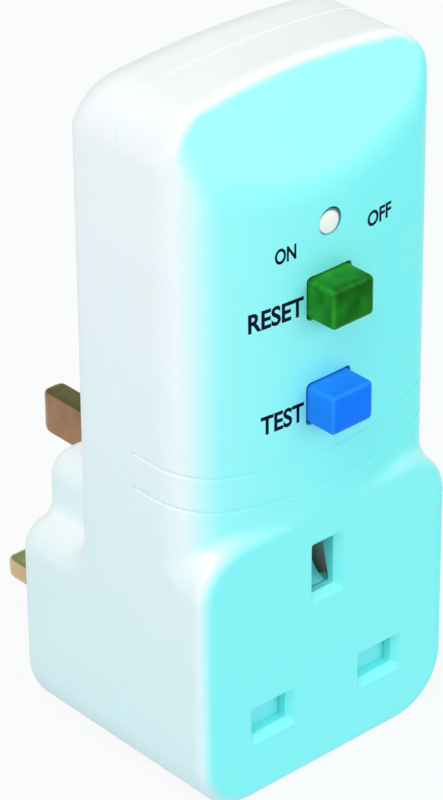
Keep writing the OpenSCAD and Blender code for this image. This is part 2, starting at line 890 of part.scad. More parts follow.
// Plate in front of the board that guides the stems, the carrier and the flag
module mechanism_frame() {
    color(dark_color)
        difference() {
            union() {
                slab(-17.4, 17.4, frame_d, frame_back, test_z - 7.9, window_z + 1.6);
                for (side = [-1, 1]) {
                    rod_y(side * guide_x, guide_z, frame_back - 0.5, board_d, 2.4);
                    rod_y(side * 14.5, test_z - 4.4, frame_back - 0.5, board_d, 4);
                    slab(side * 4.1 - 0.7, side * 4.1 + 0.7, flag_d - 1.4, frame_d + 0.5, window_z - 1.6, window_z + 1.6);
                }
            }
            rod_y(0, reset_z, frame_d - 1, frame_back + 1, stem_dia + 0.8);
            rod_y(0, test_z, frame_d - 1, frame_back + 1, stem_dia + 0.8);
            slab(-3.2, 3.2, frame_d - 1, frame_back + 1, finger_z - 1.6, window_z + 3);
            rod_x(-6, 6, flag_d, window_z, 1.6);
            rod_y(lever_x, lever_z, frame_d - 1, frame_back + 1, 1.6);
        }
}

// Sliding block that carries both bridges and drives the flag
module contact_carrier() {
    slot_d = flag_d - finger_r * sin(flag_tilt);
    color(cream_color)
        difference() {
            union() {
                slab(-16.4, 16.4, carrier_d, carrier_back, carrier_low, carrier_top);
                slab(-1.6, 1.6, carrier_d, carrier_back, carrier_top - 1, finger_z + 0.9);
                slab(-2.2, 2.2, slot_d - 2.6, carrier_d + 0.1, finger_z - 0.9, finger_z + 0.9);
            }
            slab(-1.2, 1.2, slot_d - 1.4, slot_d + 1.4, finger_z - 2, finger_z + 2);
            for (side = [-1, 1])
                rod_y(side * guide_x, guide_z, carrier_d - 1, carrier_back + 1, 2.4 + 2 * gap);
            rod_y(0, reset_z, carrier_back - 1.4, carrier_back + 1, 5.4);
        }
}

module carrier_spring() {
    color(steel_color)
        spring_y(0, reset_z, carrier_back - 1.4, board_d, 4.6, 0.4, 6);
}

// Bridge strip with a contact tip at each end
module contact_bridge(side) {
    low = min(side * (supply_x - 1.6), side * (load_x + 1.6));
    color(brass_color) {
        slab(low, low + load_x - supply_x + 3.2, carrier_back, carrier_back + 0.6, contact_z - 1.5, contact_z + 1.5);
        for (x = [supply_x, load_x])
            rod_y(side * x, contact_z, carrier_back + 0.5, bridge_back, 2.6);
    }
}

module line_bridge() {
    contact_bridge(1);
}

module neutral_bridge() {
    contact_bridge(-1);
}

// Rivets through the board with their tips facing the bridges
module fixed_contacts() {
    color(copper_color)
        for (x = [-load_x, -supply_x, supply_x, load_x]) {
            rod_y(x, contact_z, board_d - tip_t, board_d, 3.2);
            rod_y(x, contact_z, board_d - 0.1, board_back, 2);
        }
}

// Bar from a plug pin through the sensing core and up behind the board
module supply_bar(side) {
    low = core_z - 1.5;
    high = core_z + 1.5;
    mirror([side < 0 ? 1 : 0, 0, 0])
        color(copper_color) {
            slab(8.6, 13.6, pin_inner_d - bar_t, pin_inner_d, pin_z - 2.5, high);
            slab(1.2, 13.6, pin_inner_d - bar_t, pin_inner_d, low, high);
            slab(1.2, 2.2, board_back, pin_inner_d, low, high);
            slab(1.2, 9.2, board_back, board_back + bar_t, low, high);
            slab(6.6, 9.2, board_back, board_back + bar_t, low, contact_z + 2);
        }
}

module line_supply_bar() {
    supply_bar(1);
}

module neutral_supply_bar() {
    supply_bar(-1);
}

// Bent bar from behind the board down to a socket contact
module load_bar(side) {
    front = contact_back + bar_t / 2;
    back = board_back + bar_t / 2;
    mirror([side < 0 ? 1 : 0, 0, 0])
        color(copper_color)
            along_x(load_x - 1.8, load_x + 0.8)
                strip([[front, pin_z - 2.2], [front, pin_z + 2.2], [back, pin_z + 2.2], [back, contact_z + 2]], bar_t);
}

module line_load_bar() {
    load_bar(1);
}

module neutral_load_bar() {
    load_bar(-1);
}

module core_ring(outer, bore, d0, d1) {
    difference() {
        rod_y(0, core_z, d0, d1, outer);
        rod_y(0, core_z, d0 - 1, d1 + 1, bore);
    }
}

module sensing_core() {
    color([0.28, 0.29, 0.31])
        core_ring(core_dia, core_bore, core_d, core_d + core_len);
}

// Winding wrapped round the upper part of the core
module sensing_winding() {
    over = 0.5;
    color(copper_color)
        intersection() {
            difference() {
                core_ring(core_dia + 2 * over, core_bore - 2 * over, core_d - over, core_d + core_len + over);
                core_ring(core_dia, core_bore, core_d, core_d + core_len);
            }
            slab(-12, 12, core_d - 2, core_d + core_len + 2, core_z + 3.2, core_z + 12);
        }
}

// Bent steel frame round the coil
module solenoid_yoke() {
    front = coil_d - 4.6;
    color(steel_color)
        difference() {
            union() {
                slab(coil_x - 4.6, coil_x + 4.6, front, board_d, yoke_z, yoke_z + 1.2);
                slab(coil_x - 4.6, coil_x + 4.6, front, board_d, yoke_top - 1.2, yoke_top);
                slab(coil_x - 4.6, coil_x + 4.6, board_d - 1.2, board_d, yoke_z, yoke_top);
            }
            rod_z(coil_x, coil_d, yoke_z - 1, yoke_z + 2, 4.6);
        }
}

module solenoid_bobbin() {
    low = yoke_z + 1.2;
    high = yoke_top - 1.2;
    color(cream_color)
        difference() {
            union() {
                rod_z(coil_x, coil_d, low, high, 5.8);
                for (z = [low, high - 0.9])
                    slab(coil_x - 4.2, coil_x + 4.2, coil_d - 4.2, coil_d + 4.2, z, z + 0.9);
            }
            rod_z(coil_x, coil_d, low - 1, high + 1, 4.6);
        }
}

module solenoid_coil() {
    low = yoke_z + 2.1;
    high = yoke_top - 2.1;
    color(copper_color)
        difference() {
            rod_z(coil_x, coil_d, low, high, 8);
            rod_z(coil_x, coil_d, low - 1, high + 1, 5.8);
        }
}

// Plunger with a collar that lifts the latch lever
module solenoid_plunger() {
    flange_z = yoke_z - 3.8;
    color(steel_color) {
        rod_z(coil_x, coil_d, collar_z, collar_z + 1, 5);
        rod_z(coil_x, coil_d, collar_z + 0.5, flange_z + 0.3, 2);
        rod_z(coil_x, coil_d, flange_z, flange_z + 0.7, 6);
        rod_z(coil_x, coil_d, flange_z + 0.3, yoke_z + 7, 4);
    }
}

module plunger_spring() {
    low = yoke_z - 3.1;
    color(steel_color)
        translate([coil_x, at(coil_d), low])
            coil_spring(5.6, 0.35, yoke_z - low, 3);
}

// Lever on a pin behind the frame: a tooth above the carrier and a nose above the plunger's collar
module latch_lever() {
    thick = 1.3;
    color(steel_color)
        difference() {
            union() {
                rod_y(lever_x, lever_z, lever_d, lever_d + thick, 3.4);
                slab(lever_x, coil_x + 1.6, lever_d, lever_d + thick, lever_z - 1.2, lever_z + 0.2);
                slab(coil_x - 0.6, coil_x + 0.6, lever_d, lever_d + thick, collar_z + 1 + gap, lever_z - 1);
                slab(lever_x + 1.6, lever_x + 3, lever_d, lever_d + thick, carrier_top + gap, lever_z - 1);
            }
            rod_y(lever_x, lever_z, lever_d - 1, lever_d + thick + 1, 1.8);
        }
}

module latch_pin() {
    color(steel_color) {
        rod_y(lever_x, lever_z, frame_d, lever_d + 1.7, 1.6);
        rod_y(lever_x, lever_z, lever_d + 1.6, lever_d + 2.2, 2.8);
    }
}

module varistor() {
    color([0.16, 0.34, 0.66])
        rod_y(-10.5, reset_z + 17.3, board_d - 3.6, board_d, 9);
}

module film_capacitor() {
    color([0.78, 0.60, 0.20])
        slab(-17.5, -5.5, board_d - 7, board_d, carrier_top + 1.2, carrier_top + 7.2);
}

module test_resistor() {
    color([0.82, 0.74, 0.58])
        rod_x(-11.5, -4.5, board_d - 1.3, test_z - 8, 2.6);
}

module controller_chip() {
    color(dark_color)
        slab(-10.5, -4.5, board_d - 1.6, board_d, test_z + 2.8, test_z + 6.8);
}

module rectifier_diodes() {
    color(dark_color)
        for (i = [0:3])
            rod_x(4.6, 9.2, board_d - 1.1, board_low + 7.4 + 3 * i, 2.2);
}

front_cover();
rear_cover();
cover_screws();
indicator_lens();
indicator_flag();
flag_pin();
reset_button();
reset_spring();
test_button();
test_spring();
test_contact_leaf();
earth_pin();
line_pin();
neutral_pin();
line_pin_sleeve();
neutral_pin_sleeve();
line_contact();
neutral_contact();
earth_contact();
earth_strap();
socket_tray();
shutter();
shutter_spring();
circuit_board();
board_screws();
mechanism_frame();
contact_carrier();
carrier_spring();
line_bridge();
neutral_bridge();
fixed_contacts();
line_supply_bar();
neutral_supply_bar();
line_load_bar();
neutral_load_bar();
sensing_core();
sensing_winding();
solenoid_yoke();
solenoid_bobbin();
solenoid_coil();
solenoid_plunger();
plunger_spring();
latch_lever();
latch_pin();
varistor();
film_capacitor();
test_resistor();
controller_chip();
rectifier_diodes();
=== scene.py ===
import math

import bmesh
import bpy
import numpy as np
from bpy.props import FloatProperty, FloatVectorProperty, PointerProperty
from mathutils import Matrix, Quaternion, Vector


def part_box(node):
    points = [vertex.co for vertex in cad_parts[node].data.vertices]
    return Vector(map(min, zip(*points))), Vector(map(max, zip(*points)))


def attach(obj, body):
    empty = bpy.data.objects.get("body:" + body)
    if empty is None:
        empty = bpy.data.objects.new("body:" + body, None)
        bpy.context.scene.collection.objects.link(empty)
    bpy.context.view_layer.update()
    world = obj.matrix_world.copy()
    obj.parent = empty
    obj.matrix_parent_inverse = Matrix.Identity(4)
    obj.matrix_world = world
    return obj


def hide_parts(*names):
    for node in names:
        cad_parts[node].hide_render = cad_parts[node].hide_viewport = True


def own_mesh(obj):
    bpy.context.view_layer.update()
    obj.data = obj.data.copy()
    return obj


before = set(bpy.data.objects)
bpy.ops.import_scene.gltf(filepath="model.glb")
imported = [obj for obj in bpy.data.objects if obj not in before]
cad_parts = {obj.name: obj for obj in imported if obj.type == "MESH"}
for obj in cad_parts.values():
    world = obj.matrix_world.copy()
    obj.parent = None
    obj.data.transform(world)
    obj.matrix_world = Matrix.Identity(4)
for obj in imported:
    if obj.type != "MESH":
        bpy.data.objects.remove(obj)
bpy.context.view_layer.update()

bl_info = {
    "name": "RCD Adapter Plug",
    "version": (1, 0, 0),
    "blender": (4, 5, 0),
    "location": "3D View > Sidebar > Adapter Plug",
    "description": "Builds the looks of an RCD adapter plug round its packed solids",
    "category": "Add Mesh",
}

# The part is in metres; sizes below are written in millimetres and multiplied by MM.
# X runs across the case, Y from the socket face towards the plug pins, Z upwards.
MM = 0.001
FRONT_LOW, FRONT_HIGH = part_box("front_cover")
# The socket face in Y, and the depths behind it of the seam and of the plug block's rear face
FACE_Y = FRONT_LOW.y
SEAM = FRONT_HIGH.y - FACE_Y
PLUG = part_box("rear_cover")[1].y - FACE_Y


def linear(code):
    """Turns an sRGB hex colour into linear red, green, blue and alpha."""
    parts = [int(code[i:i + 2], 16) / 255 for i in (1, 3, 5)]
    return (*[p / 12.92 if p <= 0.04045 else ((p + 0.055) / 1.055) ** 2.4 for p in parts], 1.0)


def length(name, description, millimetres):
    """A length property that is written in millimetres and kept in metres."""
    return FloatProperty(name=name, description=description, default=millimetres * MM, min=0.0,
                         subtype="DISTANCE", unit="LENGTH", precision=5)


def colour(name, description, code):
    """A colour property that is written as an sRGB hex code."""
    return FloatVectorProperty(name=name, description=description, default=linear(code), size=4,
                               min=0.0, max=1.0, subtype="COLOR")


class AdapterCase(bpy.types.PropertyGroup):
    """Sizes of the two covers."""
    width: length("Width", "Width across the case", 2 * FRONT_HIGH.x / MM)
    height: length("Height", "Height of the case", FRONT_HIGH.z / MM)
    wall: length("Wall", "Wall thickness of both covers", 2.2)
    column_depth: length("Column depth", "Depth of the upper column", 28.2)
    block_height: length("Block height", "Height of the socket block's shoulders", 47.3)
    block_sag: length("Block sag", "How far the block's top edge sags in the middle", 1.3)
    plug_height: length("Plug height", "Height of the plug block at the rear", 35.2)
    plug_corner: length("Plug corner", "Radius of the plug block's upper corners", 4.8)
    tongue_height: length("Tongue height", "Height of the tongue round the earth pin", 45)
    tongue_half: length("Tongue half width", "Half of the tongue's width", 19.4)
    tongue_corner: length("Tongue corner", "Radius of the tongue's upper corners", 4.2)
    base_radius: length("Base radius", "Radius of the lower corners", 10)
    shoulder_radius: length("Shoulder radius", "Radius of the block's upper corners", 8.5)
    top_radius: length("Top radius", "Radius of the column's top corners", 8.5)
    crown_radius: length("Crown radius", "Radius of the crowned top", 150)
    bow_radius: length("Bow radius", "Radius of the bow across the column's front", 90)
    corner_radius: length("Corner radius", "Radius of the column's front corners", 8)
    sag_radius: length("Sag radius", "Radius of the sagging edge and of the grooves", 107)
    face_edge: length("Face edge", "Rounding round the socket face", 2.2)
    top_edge: length("Top edge", "Rounding between the column's front and its top", 3.5)
    facet_edge: length("Facet edge", "Rounding along the sloping facet", 1.2)
    rear_edge: length("Rear edge", "Rounding of the rear edges", 2.8)
    rear_top: length("Rear top", "Rounding of the rear edge along the top", 6.5)
    block_blend: length("Block blend", "Hollow between the socket block and the column", 1.8)
    plug_blend: length("Plug blend", "Hollow where the plug block and the tongue leave the column", 4)
    step_blend: length("Step blend", "Hollow between the plug block and the tongue", 1.8)
    facet_height: length("Facet height", "Height at which the facet leaves the front", 101)
    facet_tilt: FloatProperty(name="Facet tilt", description="Angle of the facet from the vertical",
                              default=math.radians(25), subtype="ANGLE", unit="ROTATION")
    seam_edge: length("Seam edge", "Chamfer of each cover along the seam", 0.2)
    groove_height: length("Groove height", "Height of the lower groove in the middle", 51)
    groove_step: length("Groove step", "Distance between the two grooves", 5.8)
    groove_width: length("Groove width", "Width of a groove at the surface", 0.75)
    groove_depth: length("Groove depth", "Depth of a groove", 0.4)
    groove_front: FloatProperty(name="Groove at front", default=0.35, min=0.1, max=1.0,
                                description="Share of its depth that a groove keeps across the front")
    groove_reach: length("Groove reach", "Depth from the socket face at which the grooves end", 14.7)
    net: length("Net", "Cell of the net that is laid over the covers", 0.75)


class AdapterControls(bpy.types.PropertyGroup):
    """Sizes of the apertures, buttons, pins and printed words."""
    pin_width: length("Pin width", "Width of a line or neutral pin", 6.35)
    pin_thickness: length("Pin thickness", "Height of a line or neutral pin", 4)
    earth_height: length("Earth height", "Height of the earth pin's section", 8)
    slot_gap: length("Slot gap", "Clearance of an aperture round its pin", 0.2)
    slot_bevel: length("Slot bevel", "Width of the bevel round an aperture", 1.15)
    button_edge: length("Button edge", "Rounding of a button's edges", 0.95)
    button_dome: length("Button dome", "How far a button's face is domed", 0.14)
    button_gap: length("Button gap", "Clearance of a button in its hole", 0.3)
    flange: length("Flange", "How far a button's flange stands out behind the wall", 1.1)
    window: length("Window", "Diameter of the indicator window", 4.3)
    big_letters: length("Big letters", "Height of the words beside the buttons", 3.2)
    small_letters: length("Small letters", "Height of the words beside the window", 2.5)


class AdapterColours(bpy.types.PropertyGroup):
    """Colours of the pieces."""
    # Painted light: the front colour is a cyan cast of light painted on the plastic where it faces forwards;
    # the side colour is the plastic's own.
    case_front_cast: colour("Case front", "Plastic seen on the front", "#69F4F2")
    case_side: colour("Case side", "Plastic seen on the sides, the rear and the top", "#F7FAFB")
    reset: colour("Reset button", "Green button", "#08680A")
    test: colour("Test button", "Blue button", "#0676FF")
    lens: colour("Window", "Milky window", "#F2FAEE")
    # Painted shade: the dark colour of the window's rim stands in for the shade in its recess.
    lens_rim_shade: colour("Window rim", "Rim of the window, where the dark inside shows", "#245A70")
    ink: colour("Ink", "Printed words", "#050A26")
    pin_brass: colour("Pin brass", "Earth pin", "#9C7656")
    bright_brass: colour("Bright brass", "Line and neutral pins", "#CDB48A")
    strip_brass: colour("Strip brass", "Contacts and straps", "#D2AE6A")
    copper: colour("Copper", "Bars and wire", "#C47A50")
    steel: colour("Steel", "Springs, screws and the magnet", "#B4B6B9")
    sleeve: colour("Sleeve", "Insulating sleeves", "#26262A")
    inner: colour("Inner mouldings", "Tray, carrier and bobbin", "#E4E0CE")


# Shape of the case, as distances from its surface that are negative inside

def rounded_inside(a, b, radius):
    """Where both hold, with the edge between them rounded."""
    corner = np.hypot(np.maximum(a + radius, 0), np.maximum(b + radius, 0))
    return np.minimum(np.maximum(a, b), -radius) + corner


def rounded_outside(a, b, radius):
    """Where either holds, with the hollow between them filled to a radius."""
    corner = np.hypot(np.maximum(radius - a, 0), np.maximum(radius - b, 0))
    return np.maximum(np.minimum(a, b), radius) - corner


def outline_distance(case, x, z):
    """The case seen from the front: rounded base, straight sides, crowned top."""
    x = np.abs(x)
    half = case.width / 2
    top_x = half - case.top_radius
    crown_z = case.height - case.crown_radius
    reach = case.crown_radius - case.top_radius
    top_z = crown_z + math.sqrt(reach ** 2 - top_x ** 2)
    straight = np.maximum(np.maximum(x - half, -z), np.hypot(x, z - crown_z) - case.crown_radius)
    base = np.hypot(x - half + case.base_radius, z - case.base_radius) - case.base_radius
    top = np.hypot(x - top_x, z - top_z) - case.top_radius
    in_base = (x > half - case.base_radius) & (z < case.base_radius)
    in_top = (z > top_z) & (np.arctan2(x, z - crown_z) > math.asin(top_x / reach))
    return np.where(in_base, base, np.where(in_top, top, straight))


def plan_corner(case):
    """Place of the centre of the column's front corner, and the angle at which the bow ends."""
    reach = case.bow_radius - case.corner_radius
    corner_x = case.width / 2 - case.corner_radius
    return corner_x, case.bow_radius - math.sqrt(reach ** 2 - corner_x ** 2), math.asin(corner_x / reach)


def plan_distance(case, x, d):
    """The column seen from above: bowed front, rounded corners, straight sides."""
    x = np.abs(x)
    corner_x, corner_d, bow_angle = plan_corner(case)
    straight = np.maximum(x - case.width / 2, np.hypot(x, d - case.bow_radius) - case.bow_radius)
    corner = np.hypot(x - corner_x, d - corner_d) - case.corner_radius
    in_corner = (d < corner_d) & (np.arctan2(x, case.bow_radius - d) > bow_angle)
    return np.where(in_corner, corner, straight)


def panel_distance(x, z, half, low, high, low_radius, high_radius):
    """A rectangle seen from the front, with its own radius below and above."""
    radius = np.where(z > (low + high) / 2, high_radius, low_radius)
    across = np.abs(x) - half + radius
    up = np.maximum(low - z, z - high) + radius
    corner = np.hypot(np.maximum(across, 0), np.maximum(up, 0))
    return np.minimum(np.maximum(across, up), 0) + corner - radius


def top_rise(case, z):
    """Runs from 0 below the column's top corners to 1 at its top."""
    return np.clip((z - case.height) / case.top_radius + 1, 0, 1)


def front_distance(case, x, d, z):
    """The front cover's outside: the bowed column with its facet, and the socket block."""
    half = case.width / 2
    outline = outline_distance(case, x, z)
    # The rounding fades out where the plan and the outline share the side walls, below the top corners.
    side_share = np.clip((np.abs(x) - half + case.top_radius) / case.top_radius, 0, 1)
    plan_share = np.clip((np.abs(x) - half + case.corner_radius) / case.corner_radius, 0, 1)
    edge = case.top_edge * np.maximum(1 - side_share * plan_share, top_rise(case, z))
    column = rounded_inside(plan_distance(case, x, d), outline, edge)
    facet = (z - case.facet_height) * math.sin(case.facet_tilt) - d * math.cos(case.facet_tilt)
    column = rounded_inside(column, facet, case.facet_edge)
    # The column ends inside the block, above the rounding of the base.
    column_foot = case.base_radius + 4 * MM
    column = np.maximum(column, column_foot - z)
    panel = panel_distance(x, z, half, 0, case.block_height, case.base_radius, case.shoulder_radius)
    sag_z = case.block_height - case.block_sag + case.sag_radius
    panel = np.maximum(panel, case.sag_radius - np.hypot(x, z - sag_z))
    block = rounded_inside(panel, -d, case.face_edge)
    both = rounded_outside(column, block, case.block_blend)
    return np.maximum(np.maximum(both, outline), -d)


def rear_distance(case, x, d, z):
    """The rear cover's outside: the column's back, the plug block and the tongue."""
    half = case.width / 2
    outline = outline_distance(case, x, z)
    edge = case.rear_edge + (case.rear_top - case.rear_edge) * top_rise(case, z)
    column = rounded_inside(outline, d - case.column_depth, edge)
    panel = panel_distance(x, z, half, 0, case.plug_height, case.base_radius, case.plug_corner)
    block = rounded_inside(panel, d - PLUG, case.rear_edge)
    # The tongue starts inside the plug block.
    tongue_foot = 20 * MM
    tongue_edge = 2 * MM
    flap = panel_distance(x, z, case.tongue_half, tongue_foot, case.tongue_height, MM, case.tongue_corner)
    tongue = rounded_inside(flap, d - PLUG, tongue_edge)
    body = rounded_outside(column, rounded_outside(block, tongue, case.step_blend), case.plug_blend)
    return np.maximum(np.maximum(body, outline), d - PLUG)


def slope(distance, points):
    """Outward direction of a distance at some points."""
    step = 0.02 * MM
    sides = []
    for axis in np.eye(3) * step:
        sides.append(distance(*(points + axis).T) - distance(*(points - axis).T))
    direction = np.stack(sides, axis=1)
    return direction / np.maximum(np.linalg.norm(direction, axis=1, keepdims=True), 1e-12)


def surface_net(distance, low, high, cell):
    """Points and four-sided faces of the surface where a distance is zero, on a net of even cells."""
    axes = [np.arange(a, b + cell, cell) for a, b in zip(low, high)]
    inside = distance(*np.meshgrid(*axes, indexing="ij")) < 0
    count = np.zeros([len(a) - 1 for a in axes], int)
    for i, j, k in np.ndindex(2, 2, 2):
        count += inside[i:i + count.shape[0], j:j + count.shape[1], k:k + count.shape[2]]
    crossed = (count > 0) & (count < 8)
    index = np.full(count.shape, -1)
    index[crossed] = np.arange(crossed.sum())
    cells = np.argwhere(crossed)
    points = np.stack([axes[a][cells[:, a]] + cell / 2 for a in range(3)], axis=1)
    # A few steps along the slope bring the middles of the crossed cells onto the surface.
    for _ in range(5):
        step = distance(*points.T)[:, None] * slope(distance, points)
        points -= np.clip(step, -cell, cell)
    faces = []
    for axis in range(3):
        u, v = (axis + 1) % 3, (axis + 2) % 3
        near = np.moveaxis(inside, (axis, u, v), (0, 1, 2))
        places = np.moveaxis(index, (axis, u, v), (0, 1, 2))
        change = near[:-1, 1:-1, 1:-1] != near[1:, 1:-1, 1:-1]
        i, j, k = np.nonzero(change)
        corners = [places[i, j, k], places[i, j + 1, k], places[i, j + 1, k + 1], places[i, j, k + 1]]
        quad = np.stack(corners, axis=1)
        leaving = near[i, j + 1, k + 1]
        faces.append(np.where(leaving[:, None], quad, quad[:, ::-1]))
    return points, np.concatenate(faces)


# Mesh helpers

def panel_ring(x, z, half_x, half_z, radius, steps=5):
    """Points of a rounded rectangle round (x, z), in order; equal halves and radius give a circle."""
    radius = min(radius, half_x, half_z)
    ring = []
    for quarter, (side_x, side_z) in enumerate([(1, 1), (-1, 1), (-1, -1), (1, -1)]):
        for i in range(steps + 1):
            angle = math.pi / 2 * (quarter + i / steps)
            ring.append((x + side_x * (half_x - radius) + radius * math.cos(angle),
                         z + side_z * (half_z - radius) + radius * math.sin(angle)))
    return ring


def loft(bm, rings, closed=False):
    """Joins rings of equally many points; the ends are capped unless the last ring joins the first."""
    rows = [[bm.verts.new(point) for point in ring] for ring in rings]
    count = len(rows[0])
    pairs = list(zip(rows, rows[1:]))
    if closed:
        pairs.append((rows[-1], rows[0]))
    for first, second in pairs:
        for i in range(count):
            bm.faces.new([first[i], first[(i + 1) % count], second[(i + 1) % count], second[i]])
    if not closed:
        bm.faces.new(rows[0][::-1])
        bm.faces.new(rows[-1])


def bar_along_y(bm, x, z, rows, closed=False, steps=5):
    """A bar along Y from rows of (depth, half width, half height, corner radius)."""
    rings = []
    for depth, half_x, half_z, radius in rows:
        rings.append([(px, FACE_Y + depth, pz) for px, pz in panel_ring(x, z, half_x, half_z, radius, steps)])
    loft(bm, rings, closed)


def round_rows(rows):
    """Rows of (depth, radius) as rows of a round bar."""
    return [(depth, radius, radius, radius) for depth, radius in rows]


def even_bar(bm, x, z, start, end, half_x, half_z, radius, steps=5):
    """A bar along Y that keeps its section between two depths."""
    bar_along_y(bm, x, z, [(start, half_x, half_z, radius), (end, half_x, half_z, radius)], steps=steps)


def round_bar(bm, x, z, start, end, radius, steps=5):
    """A round bar along Y between two depths."""
    even_bar(bm, x, z, start, end, radius, radius, radius, steps)


def slice_faces(bm, place, normal, clear=False):
    """Cuts every face at a plane; clear takes away what lies on the normal's side."""
    bmesh.ops.bisect_plane(bm, geom=[*bm.verts, *bm.edges, *bm.faces], plane_co=place, plane_no=normal,
                           clear_outer=clear)


def as_mesh(bm, name):
    """The bmesh as a mesh; the bmesh itself is freed."""
    mesh = bpy.data.meshes.new(name)
    bm.to_mesh(mesh)
    bm.free()
    return mesh


def tidy_mesh(bm, name):
    """Turns a bmesh into a mesh with its doubles merged and its faces outwards."""
    # Points closer than a micrometre are one point.
    bmesh.ops.remove_doubles(bm, verts=bm.verts, dist=1e-6)
    bmesh.ops.dissolve_degenerate(bm, edges=bm.edges, dist=1e-7)
    bmesh.ops.recalc_face_normals(bm, faces=bm.faces)
    return as_mesh(bm, name)


def point_values(mesh, name):
    """A vector of every point of a mesh, its place or its normal, as rows of X, Y and Z."""
    values = np.empty(len(mesh.vertices) * 3)
    mesh.vertices.foreach_get(name, values)
    return values.reshape(-1, 3)


def scratch_object(mesh):
    """An object for a short time, in the scene so that modifiers work on it."""
    obj = bpy.data.objects.new(mesh.name, mesh)
    bpy.context.scene.collection.objects.link(obj)
    return obj


def plain_mesh(obj):
    """The object's mesh with its modifiers applied; the object itself is removed."""
    graph = bpy.context.evaluated_depsgraph_get()
    mesh = bpy.data.meshes.new_from_object(obj.evaluated_get(graph), depsgraph=graph)
    bpy.data.objects.remove(obj)
    return mesh


def cut_away(mesh, other):
    """The first closed mesh less the second."""
    obj = scratch_object(mesh)
    tool = scratch_object(other)
    modifier = obj.modifiers.new("Cut", "BOOLEAN")
    modifier.operation = "DIFFERENCE"
    modifier.solver = "MANIFOLD"
    modifier.object = tool
    bpy.context.view_layer.update()
    result = plain_mesh(obj)
    bpy.data.objects.remove(tool)
    if not result.polygons:
        raise RuntimeError(f"nothing is left of {mesh.name} after the cut")
    return result


def place_piece(name, mesh, material, body, nodes, sharp=40):
    """Puts a finished mesh into the scene as a piece that rides on a body and stands for its nodes."""
    mesh.name = name
    mesh.materials.clear()
    mesh.materials.append(material)
    mesh.shade_smooth()
    mesh.set_sharp_from_angle(angle=math.radians(sharp))
    obj = bpy.data.objects.new(name, mesh)
    bpy.context.scene.collection.objects.link(obj)
    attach(obj, body)
    if nodes:
        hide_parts(*nodes)
    return obj


# Materials

def add(tree, kind, inputs=None, **settings):
    """Adds a node with its settings; an input that is given an output is linked, any other is set."""
    node = tree.nodes.new(kind)
    for name, value in settings.items():
        setattr(node, name, value)
    for name, value in (inputs or {}).items():
        if isinstance(value, bpy.types.NodeSocket):
            tree.links.new(value, node.inputs[name])
        else:
            node.inputs[name].default_value = value
    return node


def new_material(name):
    """An empty material, its tree and its main shader."""
    material = bpy.data.materials.new(name)
    material.use_nodes = True
    tree = material.node_tree
    tree.nodes.clear()
    shader = add(tree, "ShaderNodeBsdfPrincipled")
    add(tree, "ShaderNodeOutputMaterial", {"Surface": shader.outputs["BSDF"]})
    return material, tree, shader


def noise(tree, place, size, detail):
    """Noise with features that are about a size in metres wide."""
    node = add(tree, "ShaderNodeTexNoise", {"Vector": place, "Scale": 1 / size, "Detail": detail})
    return node.outputs["Fac"]


def calc(tree, operation, *values):
    """The result of a Math node."""
    return add(tree, "ShaderNodeMath", dict(enumerate(values)), operation=operation).outputs[0]


def blend(tree, share, first, second):
    """A colour that runs from the first to the second with a share."""
    # Inputs 6 and 7 and output 2 of the node are those for colours.
    return add(tree, "ShaderNodeMix", {0: share, 6: first, 7: second}, data_type="RGBA").outputs[2]


def cloudy(tree, clouds, base, change):
    """A colour that runs from a little darker to a little lighter with the clouds."""
    dark = [part * (1 - change) for part in base[:3]]
    light = [min(1.0, part * (1 + change)) for part in base[:3]]
    return blend(tree, clouds, (*dark, 1), (*light, 1))


def join_shader(tree, shader, paint, pattern, smooth, rough, relief, strength, depth):
    """Gives a shader its colour, a roughness between two values that follows a pattern, and its relief."""
    sheen = add(tree, "ShaderNodeMapRange", {"Value": pattern, "From Min": 0.3, "From Max": 0.7,
                                             "To Min": smooth, "To Max": rough})
    bump = add(tree, "ShaderNodeBump", {"Strength": strength, "Distance": depth, "Height": relief})
    tree.links.new(paint, shader.inputs["Base Color"])
    tree.links.new(sheen.outputs["Result"], shader.inputs["Roughness"])
    tree.links.new(bump.outputs["Normal"], shader.inputs["Normal"])


def moulded_plastic(name, base, roughness, grain, depth, change, front=None, shine=0.5, cloud=14 * MM):
    """Injection-moulded thermoplastic: an even colour with faint flow clouds and a fine spark-eroded grain.

    grain and cloud are the widths of the grain and of the flow clouds in metres, depth is the grain's height,
    and front is a second colour that comes in with the piece's tint attribute, a share that paints light and
    shade.
    """
    material, tree, shader = new_material(name)
    place = add(tree, "ShaderNodeTexCoord").outputs["Object"]
    clouds = noise(tree, place, cloud, detail=3.0)
    paint = cloudy(tree, clouds, base, change)
    # Painted light and shade: the second colour comes in with each point's share.
    if front is not None:
        share = add(tree, "ShaderNodeAttribute", attribute_name="front_tint").outputs["Fac"]
        paint = blend(tree, share, paint, cloudy(tree, clouds, front, change))
    speck = noise(tree, place, grain, detail=2.0)
    join_shader(tree, shader, paint, clouds, smooth=roughness - 0.04, rough=roughness + 0.04, relief=speck,
                strength=0.5, depth=depth)
    shader.inputs["IOR"].default_value = 1.53
    shader.inputs["Specular IOR Level"].default_value = shine
    return material


def drawn_metal(name, base, roughness, pitch, stretch, change):
    """Drawn, rolled or plated metal: fine lines along the drawing direction and faint handling marks.

    pitch is the width of the drawing lines in metres, stretch how much longer they are along X, Y and Z.
    """
    material, tree, shader = new_material(name)
    place = add(tree, "ShaderNodeTexCoord").outputs["Object"]
    drawn = add(tree, "ShaderNodeMapping", {"Vector": place, "Scale": [1 / part for part in stretch]})
    lines = noise(tree, drawn.outputs["Vector"], pitch, detail=3.0)
    mark_width = 3 * MM
    line_depth = 0.02 * MM
    marks = noise(tree, place, mark_width, detail=4.0)
    paint = cloudy(tree, marks, base, change)
    join_shader(tree, shader, paint, lines, smooth=roughness - 0.06, rough=roughness + 0.08, relief=lines,
                strength=0.3, depth=line_depth)
    shader.inputs["Metallic"].default_value = 1.0
    return material


# Covers

